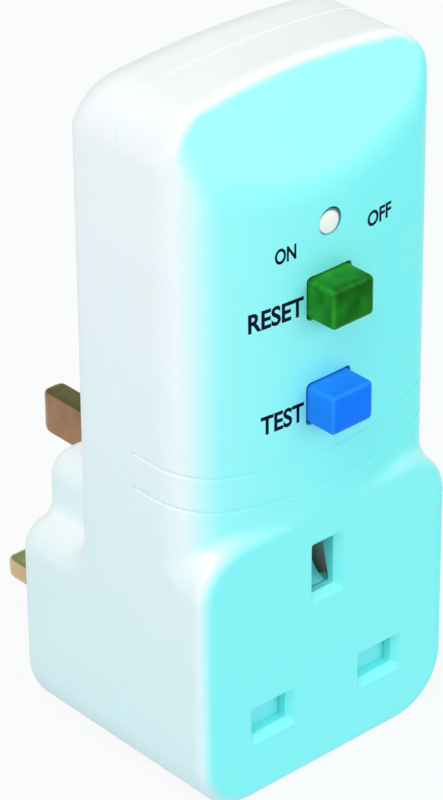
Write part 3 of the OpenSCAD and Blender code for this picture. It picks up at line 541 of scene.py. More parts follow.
def half_case(distance, low, high, cell, cut, keep):
    """A bmesh of the net over one half of the case, open where it is cut flat at a depth.

    keep is -1 for the half in front of the cut and 1 for the half behind it.
    """
    points, faces = surface_net(distance, low, high, cell)
    mesh = bpy.data.meshes.new("half_case")
    mesh.from_pydata((points + (0, FACE_Y, 0)).tolist(), [], faces.tolist())
    bm = bmesh.new()
    bm.from_mesh(mesh)
    bpy.data.meshes.remove(mesh)
    slice_faces(bm, (0, FACE_Y + cut, 0), (0, -keep, 0), clear=True)
    return bm


def close_cut(bm, name):
    """Closes the flat cut of a half case with one face."""
    rim = [edge for edge in bm.edges if edge.is_boundary]
    bmesh.ops.holes_fill(bm, edges=rim, sides=0)
    return as_mesh(bm, name)


def chamfer_cut(bm, distance, cut, keep, size):
    """Takes the edge off the rim of a half case at its cut."""
    slice_faces(bm, (0, FACE_Y + cut + keep * size, 0), (0, 1, 0))
    near = 1e-7
    rim = [vert for vert in bm.verts if abs(vert.co.y - FACE_Y - cut) < near]
    points = np.array([vert.co for vert in rim]) - (0, FACE_Y, 0)
    outward = slope(distance, points)
    outward[:, 1] = 0
    for vert, direction in zip(rim, outward):
        vert.co -= Vector(direction) * size


def cover_shell(distance, case, keep, posts, cuts):
    """A cover: the outside, less the inside round its posts, less its holes."""
    net = case.net
    half = case.width / 2
    # The net reaches a little past the case, and further past the seam.
    past = 2 * net
    past_seam = 5 * net
    if keep < 0:
        depths = (-past, SEAM + past_seam)
    else:
        depths = (SEAM - past_seam, PLUG + past)
    low = (-half - past, depths[0], -past)
    high = (half + past, depths[1], case.height + past)
    # The inside has a coarser net, and it is cut beyond the seam so that it opens the cover.
    inner_net = 1.6 * net
    inner_cut = SEAM - keep * 1.5 * MM

    def hollow(x, d, z):
        return distance(x, d, z) + case.wall

    outside = half_case(distance, low, high, net, SEAM, keep)
    chamfer_cut(outside, distance, SEAM, keep, case.seam_edge)
    outside = close_cut(outside, "outside")
    inside = close_cut(half_case(hollow, low, high, inner_net, inner_cut, keep), "inside")
    inside = cut_away(inside, tidy_mesh(posts, "posts"))
    shell = cut_away(outside, inside)
    return cut_away(shell, tidy_mesh(cuts, "cuts"))


def ramp(values, start, span):
    """Runs from 0 at the start to 1 a span further on."""
    return np.clip((values - start) / span, 0, 1)


def write_painted_light(mesh, share):
    """Keeps with the mesh each point's share of the second colour, which paints light and shade."""
    tint = mesh.attributes.new("front_tint", "FLOAT", "POINT")
    tint.data.foreach_set("value", share.astype(np.float32))


def paint_case_light(mesh, distance, facet_height):
    """Paints light on a cover: writes how far each point faces forwards and to the right, away from the key
    light, as its share of the painted cyan cast.
    """
    points = point_values(mesh, "co") - (0, FACE_Y, 0)
    outward = slope(distance, points)
    away_from_key = (0.35, -0.94, 0)
    share = ramp(outward @ away_from_key, start=0.15, span=0.87)
    # The painted cast ends soon after the facet's upper edge turns upwards.
    turned = ramp(outward[:, 2], start=0.57, span=0.3)
    share *= np.where(points[:, 2] > facet_height, 1 - turned, 1)
    # Painted shade: the sides take a little of the front's cyan cast towards the base.
    side_shade = 0.27
    side_reach = 100 * MM
    low = np.clip(1 - points[:, 2] / side_reach, 0, 1)
    share = np.maximum(share, side_shade * low * np.abs(outward[:, 0]) ** 2)
    # The seam is a thin line of painted shade, in a little of the cyan cast.
    seam_shade = 0.28
    seam_width = 0.02 * MM
    share[np.abs(points[:, 1] - SEAM) < seam_width] = seam_shade
    write_painted_light(mesh, share)


def paint_button_light(mesh):
    """Gives a button's flat faces the button's own colour and paints its rounded edges and its lit sides
    paler, as a painted highlight.
    """
    normals = point_values(mesh, "normal")
    flat = ramp(np.abs(normals).max(axis=1), start=0.72, span=0.24)
    # Painted light: the left and the top are painted paler, as if lit from there, by half of the tint at
    # most.
    most = 0.5
    left_light = 0.5 * np.maximum(0, -normals[:, 0])
    top_light = 0.35 * np.maximum(0, normals[:, 2])
    write_painted_light(mesh, flat * (1 - np.minimum(left_light + top_light, most)))


def paint_rim_shade(mesh, height, radius):
    """Paints shade on the window's rim, darkest at its upper right: painted shade of the recess and of the
    dark inside behind the rim.
    """
    points = point_values(mesh, "co") - (0, 0, height)
    away = np.hypot(points[:, 0], points[:, 2]) / radius
    lean = 0.14 * (points[:, 0] + points[:, 2]) / radius
    write_painted_light(mesh, ramp(away + lean, start=0.88, span=0.12))


def cover_screw_spots(case):
    """Places of the four cover screws, in X and Z."""
    upper = (19.2 * MM, case.height - 10.3 * MM)
    lower = (18.5 * MM, 10.5 * MM)
    return [(side * x, z) for side in (-1, 1) for x, z in (upper, lower)]


def bow_depth(case, x):
    """Depth of the column's bowed front at a distance from the middle."""
    return case.bow_radius - math.sqrt(case.bow_radius ** 2 - x ** 2)


def groove_band(bm, case, height):
    """A thin band round the column's front that cuts one groove."""
    corner_x, corner_d, bow_angle = plan_corner(case)
    half = case.width / 2
    corner_steps = 12
    bow_steps = 9
    # Points along the right half of the column's plan, each with its outward direction
    right = [(half, case.groove_reach, 1, 0), (half, corner_d + MM, 1, 0)]
    for i in range(corner_steps + 1):
        angle = (math.pi / 2 - bow_angle) * i / corner_steps
        nx, nd = math.cos(angle), -math.sin(angle)
        right.append((corner_x + case.corner_radius * nx, corner_d + case.corner_radius * nd, nx, nd))
    for i in range(1, bow_steps + 1):
        angle = bow_angle * (1 - i / bow_steps)
        nx, nd = math.sin(angle), -math.cos(angle)
        right.append((case.bow_radius * nx, case.bow_radius * (1 + nd), nx, nd))
    path = right + [(-x, d, -nx, nd) for x, d, nx, nd in right[-2::-1]]
    # The band widens from the groove's bottom to its outer edge, which stands clear of the surface.
    bottom = 0.55 * case.groove_width / 2
    brim = 1.45 * case.groove_width / 2
    clear = 0.4 * MM
    rings = []
    for x, d, nx, nd in path:
        z = height + case.sag_radius - math.sqrt(case.sag_radius ** 2 - x ** 2)
        # The groove runs out to a faint line across the front.
        deep = case.groove_depth * max(case.groove_front, abs(nx))
        section = [(-deep, -bottom), (clear, -brim), (clear, brim), (-deep, bottom)]
        rings.append([(x + nx * out, FACE_Y + d + nd * out, z + up) for out, up in section])
    loft(bm, rings)


def aperture_cut(bm, x, z, half_x, half_z, reach, controls):
    """A socket aperture with its bevelled mouth, cut to a depth."""
    ahead = 0.5 * MM
    mouth = controls.slot_bevel + ahead
    mouth_corner = 0.9 * MM
    slot_corner = 0.25 * MM
    bar_along_y(bm, x, z, [(-ahead, half_x + mouth, half_z + mouth, mouth_corner),
                           (controls.slot_bevel, half_x, half_z, slot_corner),
                           (reach, half_x, half_z, slot_corner)])


def earth_cheek(bm, side, z, half_x, half_z):
    """One of the two cheeks beside the earth aperture, with its rear edge sloping back upwards."""
    inner = side * (half_x - 0.3 * MM)
    outer = side * (half_x + 1.2 * MM)
    low = z - half_z + 0.4 * MM
    high = z + half_z
    # The cheek starts inside the wall and ends at the tray: in front of its face below, behind it above.
    start = FACE_Y + MM
    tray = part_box("socket_tray")[0].y
    low_end = tray - 0.6 * MM
    high_end = tray + 1.2 * MM
    corners = [(inner, low, low_end), (outer, low, low_end), (outer, high, high_end), (inner, high, high_end)]
    front = [(x, start, height) for x, height, end in corners]
    back = [(x, end, height) for x, height, end in corners]
    loft(bm, [front, back])


def middle(node):
    """Middle of a node's box."""
    low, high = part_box(node)
    return (low + high) / 2


class ADAPTER_OT_front_shell(bpy.types.Operator):
    """Front cover with its apertures, button holes, window and grooves"""
    bl_idname = "adapter.front_shell"
    bl_label = "Front shell"

    def execute(self, context):
        case = context.scene.adapter_case
        controls = context.scene.adapter_controls

        def distance(x, d, z):
            return front_distance(case, x, d, z)

        posts = bmesh.new()
        cuts = bmesh.new()
        # Posts of the cover screws, each with a pilot hole
        post = 3 * MM
        pilot = 1.55 * MM
        pilot_start = 8 * MM
        post_end = SEAM + 3 * MM
        for x, z in cover_screw_spots(case):
            round_bar(posts, x, z, 0, post_end, post)
            round_bar(cuts, x, z, pilot_start, post_end, pilot)
        line = middle("line_pin")
        earth = middle("earth_pin")
        side_gap = 0.1 * MM
        slot_x = controls.pin_width / 2 + controls.slot_gap + side_gap
        slot_z = controls.pin_thickness / 2 + controls.slot_gap
        earth_half = controls.earth_height / 2 + controls.slot_gap
        # Holes run from in front of the case to behind its wall.
        hole_start = -2 * MM
        hole_end = case.wall + 2 * MM
        land = 0.8 * MM
        land_end = case.wall + 0.4 * MM
        for side in (-1, 1):
            x = side * line.x
            aperture_cut(cuts, x, line.z, slot_x, slot_z, hole_end, controls)
            # A raised land behind the wall round the aperture, close to the shutter
            even_bar(posts, x, line.z, MM, land_end, slot_x + land, slot_z + land, land)
            earth_cheek(posts, side, earth.z, slot_z, earth_half)
        # The earth aperture is cut on between its cheeks.
        earth_end = 9 * MM
        aperture_cut(cuts, 0, earth.z, slot_z, earth_half, earth_end, controls)
        hole_corner = 0.8 * MM
        for node in ("reset_button", "test_button"):
            low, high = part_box(node)
            half_x = high.x - controls.flange + controls.button_gap
            half_z = (high.z - low.z) / 2 - controls.flange + controls.button_gap
            even_bar(cuts, 0, (low.z + high.z) / 2, hole_start, hole_end, half_x, half_z, hole_corner)
        window_gap = 0.08 * MM
        window = controls.window / 2 + window_gap
        round_bar(cuts, 0, middle("indicator_lens").z, hole_start, hole_end, window, steps=12)
        for step in (0, 1):
            groove_band(cuts, case, case.groove_height + step * case.groove_step)
        shell = cover_shell(distance, case, -1, posts, cuts)
        paint_case_light(shell, distance, case.facet_height)
        plastic = case_plastic(context.scene.adapter_colours)
        place_piece("front_shell", shell, plastic, "case", ["front_cover"])
        return {"FINISHED"}


def case_plastic(colours):
    """Moulded ABS of the case: satin and pale, with a painted cyan cast of light on the front; made once for
    both covers.
    """
    name = "moulded_abs_case"
    if name in bpy.data.materials:
        return bpy.data.materials[name]
    return moulded_plastic(name, colours.case_side, roughness=0.36, grain=0.35 * MM, depth=0.02 * MM,
                           change=0.02, front=colours.case_front_cast)


class ADAPTER_OT_rear_shell(bpy.types.Operator):
    """Rear cover with its screw wells and pin holes"""
    bl_idname = "adapter.rear_shell"
    bl_label = "Rear shell"

    def execute(self, context):
        case = context.scene.adapter_case
        controls = context.scene.adapter_controls

        def distance(x, d, z):
            return rear_distance(case, x, d, z)

        posts = bmesh.new()
        cuts = bmesh.new()
        # Posts of the cover screws, each with a hole up to the screw's seat and a well behind it
        post = 3.5 * MM
        hole = 1.65 * MM
        well = 2.7 * MM
        seat = 24 * MM
        start = SEAM - 3 * MM
        end = PLUG + 3 * MM
        for x, z in cover_screw_spots(case):
            round_bar(posts, x, z, start, end, post)
            bar_along_y(cuts, x, z, round_rows([(start, hole), (seat, hole), (seat, well), (end, well)]))
        # Holes of the pins, through the wall
        fit = 0.05 * MM
        corner = 0.3 * MM
        pin_start = PLUG - 3.2 * MM
        line = middle("line_pin")
        half_x = controls.pin_width / 2 + fit
        half_z = controls.pin_thickness / 2 + fit
        for side in (-1, 1):
            even_bar(cuts, side * line.x, line.z, pin_start, end, half_x, half_z, corner)
        earth_half = controls.earth_height / 2 + fit
        even_bar(cuts, 0, middle("earth_pin").z, pin_start, end, half_z, earth_half, corner)
        shell = cover_shell(distance, case, 1, posts, cuts)
        paint_case_light(shell, distance, case.facet_height)
        plastic = case_plastic(context.scene.adapter_colours)
        place_piece("rear_shell", shell, plastic, "case", ["rear_cover"])
        return {"FINISHED"}


# Controls

class ADAPTER_OT_buttons(bpy.types.Operator):
    """Reset and test buttons with rounded, slightly domed caps"""
    bl_idname = "adapter.buttons"
    bl_label = "Buttons"

    def execute(self, context):
        controls = context.scene.adapter_controls
        colours = context.scene.adapter_colours
        flange_front = 2.65 * MM
        flange_back = 4 * MM
        stem = 1.8 * MM
        stem_edge = 0.3 * MM
        stem_tip = stem - stem_edge
        least_corner = 0.3 * MM
        edge = controls.button_edge
        edge_steps = 6
        # Node, colour, slot, how mottled the cap is and how much paler its painted highlight on the edges and
        # lit sides is
        for node, tint, slot, change, glow in (("reset_button", colours.reset, "green_plastic", 0.9, 1.9),
                                               ("test_button", colours.test, "blue_plastic", 0.12, 1.4)):
            low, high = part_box(node)
            wide = high.x
            tall = (high.z - low.z) / 2
            cap_x = wide - controls.flange
            cap_z = tall - controls.flange
            face = low.y - FACE_Y
            back = high.y - FACE_Y
            rows = []
            for share in (0.25, 0.55, 0.85):
                sink = controls.button_dome * share ** 2
                rows.append((face + sink, (cap_x - edge) * share, (cap_z - edge) * share, least_corner))
            for i in range(edge_steps + 1):
                angle = math.pi / 2 * i / edge_steps
                inset = edge * (1 - math.sin(angle))
                sink = controls.button_dome + (edge - controls.button_dome) * (1 - math.cos(angle))
                rows.append((face + sink, cap_x - inset, cap_z - inset, max(edge - inset, least_corner)))
            rows += [(flange_front, cap_x, cap_z, edge), (flange_front, wide, tall, edge),
                     (flange_back, wide, tall, edge), (flange_back, stem, stem, stem),
                     (back - stem_edge, stem, stem, stem), (back, stem_tip, stem_tip, stem)]
            bm = bmesh.new()
            bar_along_y(bm, 0, (low.z + high.z) / 2, rows, steps=6)
            mesh = tidy_mesh(bm, node)
            paint_button_light(mesh)
            # Glossy, slightly translucent ABS: mottled flow clouds, and a painted highlight that makes its
            # edges and lit sides paler
            lift = 0.02
            pale = [min(1.0, glow * part + lift) for part in tint[:3]]
            name = "gloss_abs_" + node.split("_")[0]
            plastic = moulded_plastic(name, pale, roughness=0.2, grain=0.3 * MM, depth=0.012 * MM,
                                      change=change, front=tint, shine=0.05, cloud=2.5 * MM)
            place_piece(node.replace("_button", "_push_cap"), mesh, plastic, node, [node], sharp=50)
        return {"FINISHED"}


class ADAPTER_OT_indicator(bpy.types.Operator):
    """Milky indicator window and the two-colour flag behind it"""
    bl_idname = "adapter.indicator"
    bl_label = "Indicator"

    def execute(self, context):
        controls = context.scene.adapter_controls
        colours = context.scene.adapter_colours
        low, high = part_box("indicator_lens")
        height = (low.z + high.z) / 2
        # A thin gap shows round the window, whose domed face stands level with the case.
        gap = 0.12 * MM
        radius = controls.window / 2 - gap
        rim = 0.1 * MM
        dome = 0.25 * MM
        edge = 0.1 * MM
        edge_end = rim + 0.12 * MM
        back = high.y - FACE_Y
        flange = back - 0.75 * MM
        rows = []
        for share in (0.2, 0.4, 0.55, 0.65, 0.75, 0.85, 0.93, 1.0):
            rows.append((rim - dome * (1 - share ** 2), (radius - edge) * share))
        rows += [(edge_end, radius), (flange, radius), (flange, high.x), (back, high.x)]
        bm = bmesh.new()
        bar_along_y(bm, 0, height, round_rows(rows), steps=10)
        mesh = tidy_mesh(bm, "indicator_window")
        paint_rim_shade(mesh, height, radius)
        # Diffusing polycarbonate: smooth and milky, with painted shade on its rim
        milky = moulded_plastic("milky_polycarbonate", colours.lens, roughness=0.16, grain=0.4 * MM,
                                depth=0.004 * MM, change=0.02, front=colours.lens_rim_shade)
        shader = milky.node_tree.nodes["Principled BSDF"]
        shader.inputs["IOR"].default_value = 1.58
        shader.inputs["Subsurface Weight"].default_value = 0.3
        shader.inputs["Subsurface Scale"].default_value = 0.8 * MM
        place_piece("indicator_window", mesh, milky, "case", ["indicator_lens"])
        dress_nodes(["indicator_flag"], flag_plastic(middle("indicator_flag").z))
        return {"FINISHED"}


def dress_nodes(nodes, material):
    """Gives a finish to pieces that keep their solids."""
    for node in nodes:
        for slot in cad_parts[node].material_slots:
            slot.material = material


def flag_plastic(height):
    """Two-colour moulded flag: red above its middle and black below, with a crisp line between."""
    material = moulded_plastic("two_colour_abs_flag", linear("#B8201C"), roughness=0.4, grain=0.3 * MM,
                               depth=0.01 * MM, change=0.05)
    tree = material.node_tree
    shader = tree.nodes["Principled BSDF"]
    red = shader.inputs["Base Color"].links[0].from_socket
    place = add(tree, "ShaderNodeTexCoord").outputs["Object"]
    split = add(tree, "ShaderNodeSeparateXYZ", {"Vector": place})
    lower = calc(tree, "LESS_THAN", split.outputs["Z"], height)
    tree.links.new(blend(tree, lower, red, linear("#141416")), shader.inputs["Base Color"])
    return material


class ADAPTER_OT_legends(bpy.types.Operator):
    """Plain printed words beside the window and the buttons, laid on the bowed front"""
    bl_idname = "adapter.legends"
    bl_label = "Legends"

    def execute(self, context):
        case = context.scene.adapter_case
        controls = context.scene.adapter_controls
        colours = context.scene.adapter_colours
        # Pad-printed ink: dark, nearly matt
        ink = moulded_plastic("pad_print_ink", colours.ink, roughness=0.45, grain=0.2 * MM, depth=0.004 * MM,
                              change=0.1, shine=0.05)
        window = middle("indicator_lens").z
        reset = middle("reset_button").z
        test = middle("test_button").z
        small = controls.small_letters
        big = controls.big_letters
        # Word, its middle in X and Z, its height and width, and how much bolder it is than the plain letters
        words = [("ON", -8.3 * MM, window - 2.6 * MM, small, 3.8 * MM, 0.024),
                 ("OFF", 10.4 * MM, window - 2.9 * MM, small, 5.3 * MM, 0.024),
                 ("RESET", -9.9 * MM, reset - 0.6 * MM, big, 9.8 * MM, 0.026),
                 ("TEST", -8.8 * MM, test - 0.7 * MM, big, 7.8 * MM, 0.026)]
        for word, x, z, tall, wide, weight in words:
            mesh = printed_word(case, word, x, z, tall, wide, weight)
            place_piece("legend_" + word.lower(), mesh, ink, "case", [], sharp=30)
        return {"FINISHED"}


def printed_word(case, word, x, z, tall, wide, weight):
    """A word as a thin layer of ink of a given height and width, bent to the bowed front."""
    curve = bpy.data.curves.new(word, "FONT")
    curve.body = word
    curve.offset = weight
    curve.extrude = 0.01
    mesh = plain_mesh(scratch_object(curve))
    bpy.data.curves.remove(curve)
    points = point_values(mesh, "co")
    low, high = points.min(axis=0), points.max(axis=0)
    centre = (low + high) / 2
    # Half of the ink's thickness, and how far its middle stands out of the front
    ink = 0.015 * MM
    stand = 0.012 * MM
    scale = Matrix.Diagonal((wide / (high[0] - low[0]), tall / (high[1] - low[1]), ink / high[2], 1))
    upright = Matrix.Rotation(math.pi / 2, 4, "X")
    mesh.transform(Matrix.Translation((x, 0, z)) @ upright @ scale @ Matrix.Translation(-Vector(centre)))
    bm = bmesh.new()
    bm.from_mesh(mesh)
    bmesh.ops.remove_doubles(bm, verts=bm.verts, dist=1e-7)
    slices = 16
    for i in range(1, slices):
        slice_faces(bm, (x - wide / 2 + wide * i / slices, 0, 0), (1, 0, 0))
    for vert in bm.verts:
        vert.co.y += FACE_Y + bow_depth(case, vert.co.x) - stand
    bm.to_mesh(mesh)
    bm.free()
    return mesh


# Pins

class ADAPTER_OT_pins(bpy.types.Operator):
    """Plug pins with softened edges, and the insulating sleeves of two of them"""
    bl_idname = "adapter.pins"
    bl_label = "Plug pins"

    def execute(self, context):
        case = context.scene.adapter_case
        controls = context.scene.adapter_controls
        colours = context.scene.adapter_colours
        # Drawn brass: warm, with fine lines along the pin; the long earth pin is darker
        along = (1, 60, 1)
        dull = drawn_metal("tarnished_brass_pin", colours.pin_brass, roughness=0.24, pitch=0.25 * MM,
                           stretch=along, change=0.3)
        bright = drawn_metal("drawn_brass_pins", colours.bright_brass, roughness=0.2, pitch=0.25 * MM,
                             stretch=along, change=0.1)
        # Moulded nylon sleeves: black and nearly matt
        nylon = moulded_plastic("nylon_sleeves", colours.sleeve, roughness=0.5, grain=0.3 * MM,
                                depth=0.01 * MM, change=0.05)
        soft = 0.75 * MM
        inside = PLUG - case.wall
        flange_front = inside - 1.5 * MM
        low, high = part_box("earth_pin")
        half_x = controls.pin_thickness / 2
        half_z = controls.earth_height / 2
        flange_x = half_x + 1.4 * MM
        flange_z = half_z + 1.4 * MM
        rows = [(low.y - FACE_Y, half_x, half_z, soft), (flange_front, half_x, half_z, soft),
                (flange_front, flange_x, flange_z, MM), (inside, flange_x, flange_z, MM),
                (inside, half_x, half_z, soft)]
        rows += tip_rows(high.y - FACE_Y, half_x, half_z, soft, nose=1.5 * MM)
        bm = bmesh.new()
        bar_along_y(bm, 0, (low.z + high.z) / 2, rows)
        place_piece("earth_prong", tidy_mesh(bm, "earth"), dull, "case", ["earth_pin"])
        # The line and neutral pins have a thinner neck inside the sleeve.
        # Where pin and sleeve meet, the edge of each is eased by a height over a run.
        half_x = controls.pin_width / 2
        half_z = controls.pin_thickness / 2
        flange_x = half_x + 0.6 * MM
        flange_z = half_z + MM
        neck_x = half_x - 0.5 * MM
        neck_z = half_z - 0.5 * MM
        pin_ease = 0.1 * MM
        pin_run = 0.12 * MM
        sleeve_ease = 0.12 * MM
        sleeve_run = 0.15 * MM
        for name in ("line", "neutral"):
            low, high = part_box(name + "_pin")
            sleeve_low, sleeve_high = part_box(name + "_pin_sleeve")
            x = (low.x + high.x) / 2
            z = (sleeve_low.z + sleeve_high.z) / 2
            start = sleeve_low.y - FACE_Y
            end = sleeve_high.y - FACE_Y
            rows = [(low.y - FACE_Y, neck_x, neck_z, soft), (flange_front, neck_x, neck_z, soft),
                    (flange_front, flange_x, flange_z, MM), (inside, flange_x, flange_z, MM),
                    (inside, neck_x, neck_z, soft), (end, neck_x, neck_z, soft),
                    (end, half_x - pin_ease, half_z - pin_ease, soft),
                    (end + pin_run, half_x, half_z, soft)]
            rows += tip_rows(high.y - FACE_Y, half_x, half_z, soft, nose=1.3 * MM)
            bm = bmesh.new()
            bar_along_y(bm, x, z, rows)
            place_piece(name + "_prong", tidy_mesh(bm, name), bright, "case", [name + "_pin"])
            rows = [(start, neck_x, neck_z, soft), (start, half_x, half_z, soft),
                    (end - sleeve_run, half_x, half_z, soft),
                    (end, half_x - sleeve_ease, half_z - sleeve_ease, soft), (end, neck_x, neck_z, soft)]
            bm = bmesh.new()
            bar_along_y(bm, x, z, rows, closed=True)
            mesh = tidy_mesh(bm, name + "_sleeve")
            place_piece(name + "_sleeve", mesh, nylon, "case", [name + "_pin_sleeve"])
        return {"FINISHED"}


def tip_rows(end, half_x, half_z, soft, nose):
    """Rows of a pin's rounded tip; nose is how far it draws in at the end."""
    rows = []
    steps = 6
    reach = 1.4 * nose
    for i in range(steps + 1):
        angle = math.pi / 2 * i / steps
        inset = nose * (1 - math.cos(angle))
        rows.append((end - reach * (1 - math.sin(angle)), half_x - inset, half_z - inset, soft))
    return rows


# Springs, windings and screws

def new_tree(name, sockets):
    """A Geometry Nodes tree with named inputs; gives the tree, its inputs and its end."""
    tree = bpy.data.node_groups.new(name, "GeometryNodeTree")
    tree.interface.new_socket("Geometry", in_out="INPUT", socket_type="NodeSocketGeometry")
    for label, kind in sockets:
        tree.interface.new_socket(label, in_out="INPUT", socket_type=kind)
    tree.interface.new_socket("Geometry", in_out="OUTPUT", socket_type="NodeSocketGeometry")
    return tree, add(tree, "NodeGroupInput").outputs, add(tree, "NodeGroupOutput")


def finish_tree(tree, geometry, material, end):
    """Ends a tree with real geometry and its material."""
    real = add(tree, "GeometryNodeRealizeInstances", {"Geometry": geometry}).outputs["Geometry"]
    painted = add(tree, "GeometryNodeSetMaterial", {"Geometry": real, "Material": material})
    tree.links.new(painted.outputs["Geometry"], end.inputs[0])


def wire_section(tree, wire, points):
    """The round section of a wire."""
    return add(tree, "GeometryNodeCurvePrimitiveCircle", {
        "Resolution": points, "Radius": calc(tree, "MULTIPLY", wire, 0.5)}).outputs[0]


def run_tree(tree, base, values):
    """The plain mesh that a tree makes of a base mesh, with its inputs set."""
    obj = scratch_object(base)
    modifier = obj.modifiers.new("Nodes", "NODES")
    modifier.node_group = tree
    for item in tree.interface.items_tree:
        if item.in_out == "INPUT" and item.name in values:
            modifier[item.identifier] = values[item.name]
    bpy.context.view_layer.update()
    mesh = plain_mesh(obj)
    if not mesh.polygons:
        raise RuntimeError(f"{tree.name} made nothing")
    return mesh


def coil_tree():
    """Round wire wound in a coil along Z, with one closed turn at each end."""
    if "wire_coil" in bpy.data.node_groups:
        return bpy.data.node_groups["wire_coil"]
    sockets = [(label, "NodeSocketFloat") for label in ("Radius", "Wire", "Length", "Turns")]
    tree, given, end = new_tree("wire_coil", [*sockets, ("Material", "NodeSocketMaterial")])
    spiral = add(tree, "GeometryNodeCurveSpiral", {
        "Resolution": 28, "Rotations": given["Turns"], "Start Radius": given["Radius"],
        "End Radius": given["Radius"], "Height": 0.0})
    along = add(tree, "GeometryNodeSplineParameter").outputs["Factor"]
    turn = calc(tree, "MULTIPLY", along, given["Turns"])
    last = calc(tree, "SUBTRACT", given["Turns"], 1.0)
    # The end turns rise by one wire each, and the middle of the wire stays half a wire inside at both ends,
    # so the turns between them rise by the length less three wires.
    rest = calc(tree, "MULTIPLY_ADD", given["Wire"], -3.0, given["Length"])
    rises = ({"From Max": 1.0, "To Max": given["Wire"]},
             {"From Min": 1.0, "From Max": last, "To Max": rest},
             {"From Min": last, "From Max": given["Turns"], "To Max": given["Wire"]})
    height = calc(tree, "MULTIPLY", given["Wire"], 0.5)
    for rise in rises:
        climb = add(tree, "ShaderNodeMapRange", {"Value": turn, **rise})
        height = calc(tree, "ADD", height, climb.outputs[0])
    lift = add(tree, "ShaderNodeCombineXYZ", {"Z": height})
    raised = add(tree, "GeometryNodeSetPosition", {"Geometry": spiral.outputs[0], "Offset": lift.outputs[0]})
    section = wire_section(tree, given["Wire"], points=10)
    wire = add(tree, "GeometryNodeCurveToMesh", {
        "Curve": raised.outputs[0], "Profile Curve": section, "Fill Caps": True})
    finish_tree(tree, wire.outputs[0], given["Material"], end)
    return tree


def wound_coil(centre, axis, size, wire, long, turns, material):
    """Mesh of a coil that starts at a point and runs along an axis."""
    mesh = run_tree(coil_tree(), bpy.data.meshes.new("coil"), {
        "Radius": (size - wire) / 2, "Wire": wire, "Length": long, "Turns": float(turns),
        "Material": material})
    turn = Vector((0, 0, 1)).rotation_difference(Vector(axis)).to_matrix().to_4x4()
    mesh.transform(Matrix.Translation(centre) @ turn)
    return mesh


class ADAPTER_OT_springs(bpy.types.Operator):
    """Coil springs of the buttons, the carrier, the shutter and the plunger"""
    bl_idname = "adapter.springs"
    bl_label = "Springs"

    def execute(self, context):
        colours = context.scene.adapter_colours
        # Drawn spring steel: bright grey wire
        steel = drawn_metal("drawn_spring_steel", colours.steel, roughness=0.28, pitch=0.1 * MM,
                            stretch=(1, 1, 1), change=0.06)
        backward, upward = (0, 1, 0), (0, 0, 1)
        # Node, axis, outer diameter and wire in millimetres, turns, joint, and the end that stays:
        # 0 the start, 1 the far end
        springs = [("reset_spring", backward, 6.2, 0.6, 5, "reset_press", 1),
                   ("test_spring", backward, 6.2, 0.6, 5, "test_press", 1),
                   ("carrier_spring", backward, 4.6, 0.4, 6, "carrier_slide", 1),
                   ("shutter_spring", upward, 2.4, 0.3, 10, "shutter_drop", 0),
                   ("plunger_spring", upward, 5.6, 0.35, 4, "plunger_pull", 1)]
        for node, axis, size, wire, turns, joint, still in springs:
            low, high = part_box(node)
            run = Vector(axis)
            long = (high - low).dot(run)
            start = middle(node) - run * long / 2
            mesh = wound_coil(start, axis, size * MM, wire * MM, long, turns, steel)
            name = node.replace("_spring", "_coil_spring")
            piece = place_piece(name, mesh, steel, "case", [node])
            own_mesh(piece)
        return {"FINISHED"}


def ring_tree():
    """Turns of round wire side by side round part of a ring of square section, the ring's axis along Z."""
    floats = ("Middle", "Across", "Along", "Wire", "Start", "Sweep")
    sockets = [(label, "NodeSocketFloat") for label in floats]
    sockets += [("Count", "NodeSocketInt"), ("Material", "NodeSocketMaterial")]
    tree, given, end = new_tree("ring_winding", sockets)
    arc = add(tree, "GeometryNodeCurveArc", {
        "Resolution": 64, "Radius": given["Middle"], "Start Angle": given["Start"],
        "Sweep Angle": given["Sweep"]})
    spots = add(tree, "GeometryNodeCurveToPoints", {"Curve": arc.outputs[0], "Count": given["Count"]}).outputs
    turn = add(tree, "GeometryNodeCurvePrimitiveQuadrilateral", {
        "Width": given["Across"], "Height": given["Along"]})
    bend = calc(tree, "MULTIPLY", given["Wire"], 1.5)
    soft = add(tree, "GeometryNodeFilletCurve", {
        "Curve": turn.outputs[0], "Radius": bend, "Count": 4}, mode="POLY")
    loop = add(tree, "GeometryNodeCurveToMesh", {
        "Curve": soft.outputs[0], "Profile Curve": wire_section(tree, given["Wire"], points=8)})
    turns = add(tree, "GeometryNodeInstanceOnPoints", {
        "Points": spots["Points"], "Instance": loop.outputs[0], "Rotation": spots["Rotation"]})
    finish_tree(tree, turns.outputs[0], given["Material"], end)
    return tree


class ADAPTER_OT_windings(bpy.types.Operator):
    """Copper wire of the magnet's coil and of the sensing ring"""
    bl_idname = "adapter.windings"
    bl_label = "Windings"

    def execute(self, context):
        colours = context.scene.adapter_colours
        # Enamelled copper wire: warm, smooth and shiny
        copper = drawn_metal("enamelled_copper_wire", colours.copper, roughness=0.25, pitch=0.2 * MM,
                             stretch=(1, 1, 1), change=0.1)
        low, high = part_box("solenoid_coil")
        wire = 0.26 * MM
        centre = (low + high) / 2
        long = high.z - low.z
        start = Vector((centre.x, centre.y, low.z))
        mesh = wound_coil(start, (0, 0, 1), high.x - low.x, wire, long, int(long / wire), copper)
        place_piece("magnet_wire", mesh, copper, "case", ["solenoid_coil"])
        low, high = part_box("sensing_core")
        outer = (high.x - low.x) / 2
        bore = 4.3 * MM
        wire = 0.5 * MM
        mesh = run_tree(ring_tree(), bpy.data.meshes.new("ring"), {
            "Middle": (outer + bore) / 2, "Across": outer - bore + wire, "Along": high.y - low.y + wire,
            "Wire": wire, "Start": math.radians(35), "Sweep": math.radians(110), "Count": 15,
            "Material": copper})
        mesh.transform(Matrix.Translation((low + high) / 2) @ Matrix.Rotation(math.pi / 2, 4, "X"))
        place_piece("sensing_wire", mesh, copper, "case", ["sensing_winding"])
        return {"FINISHED"}


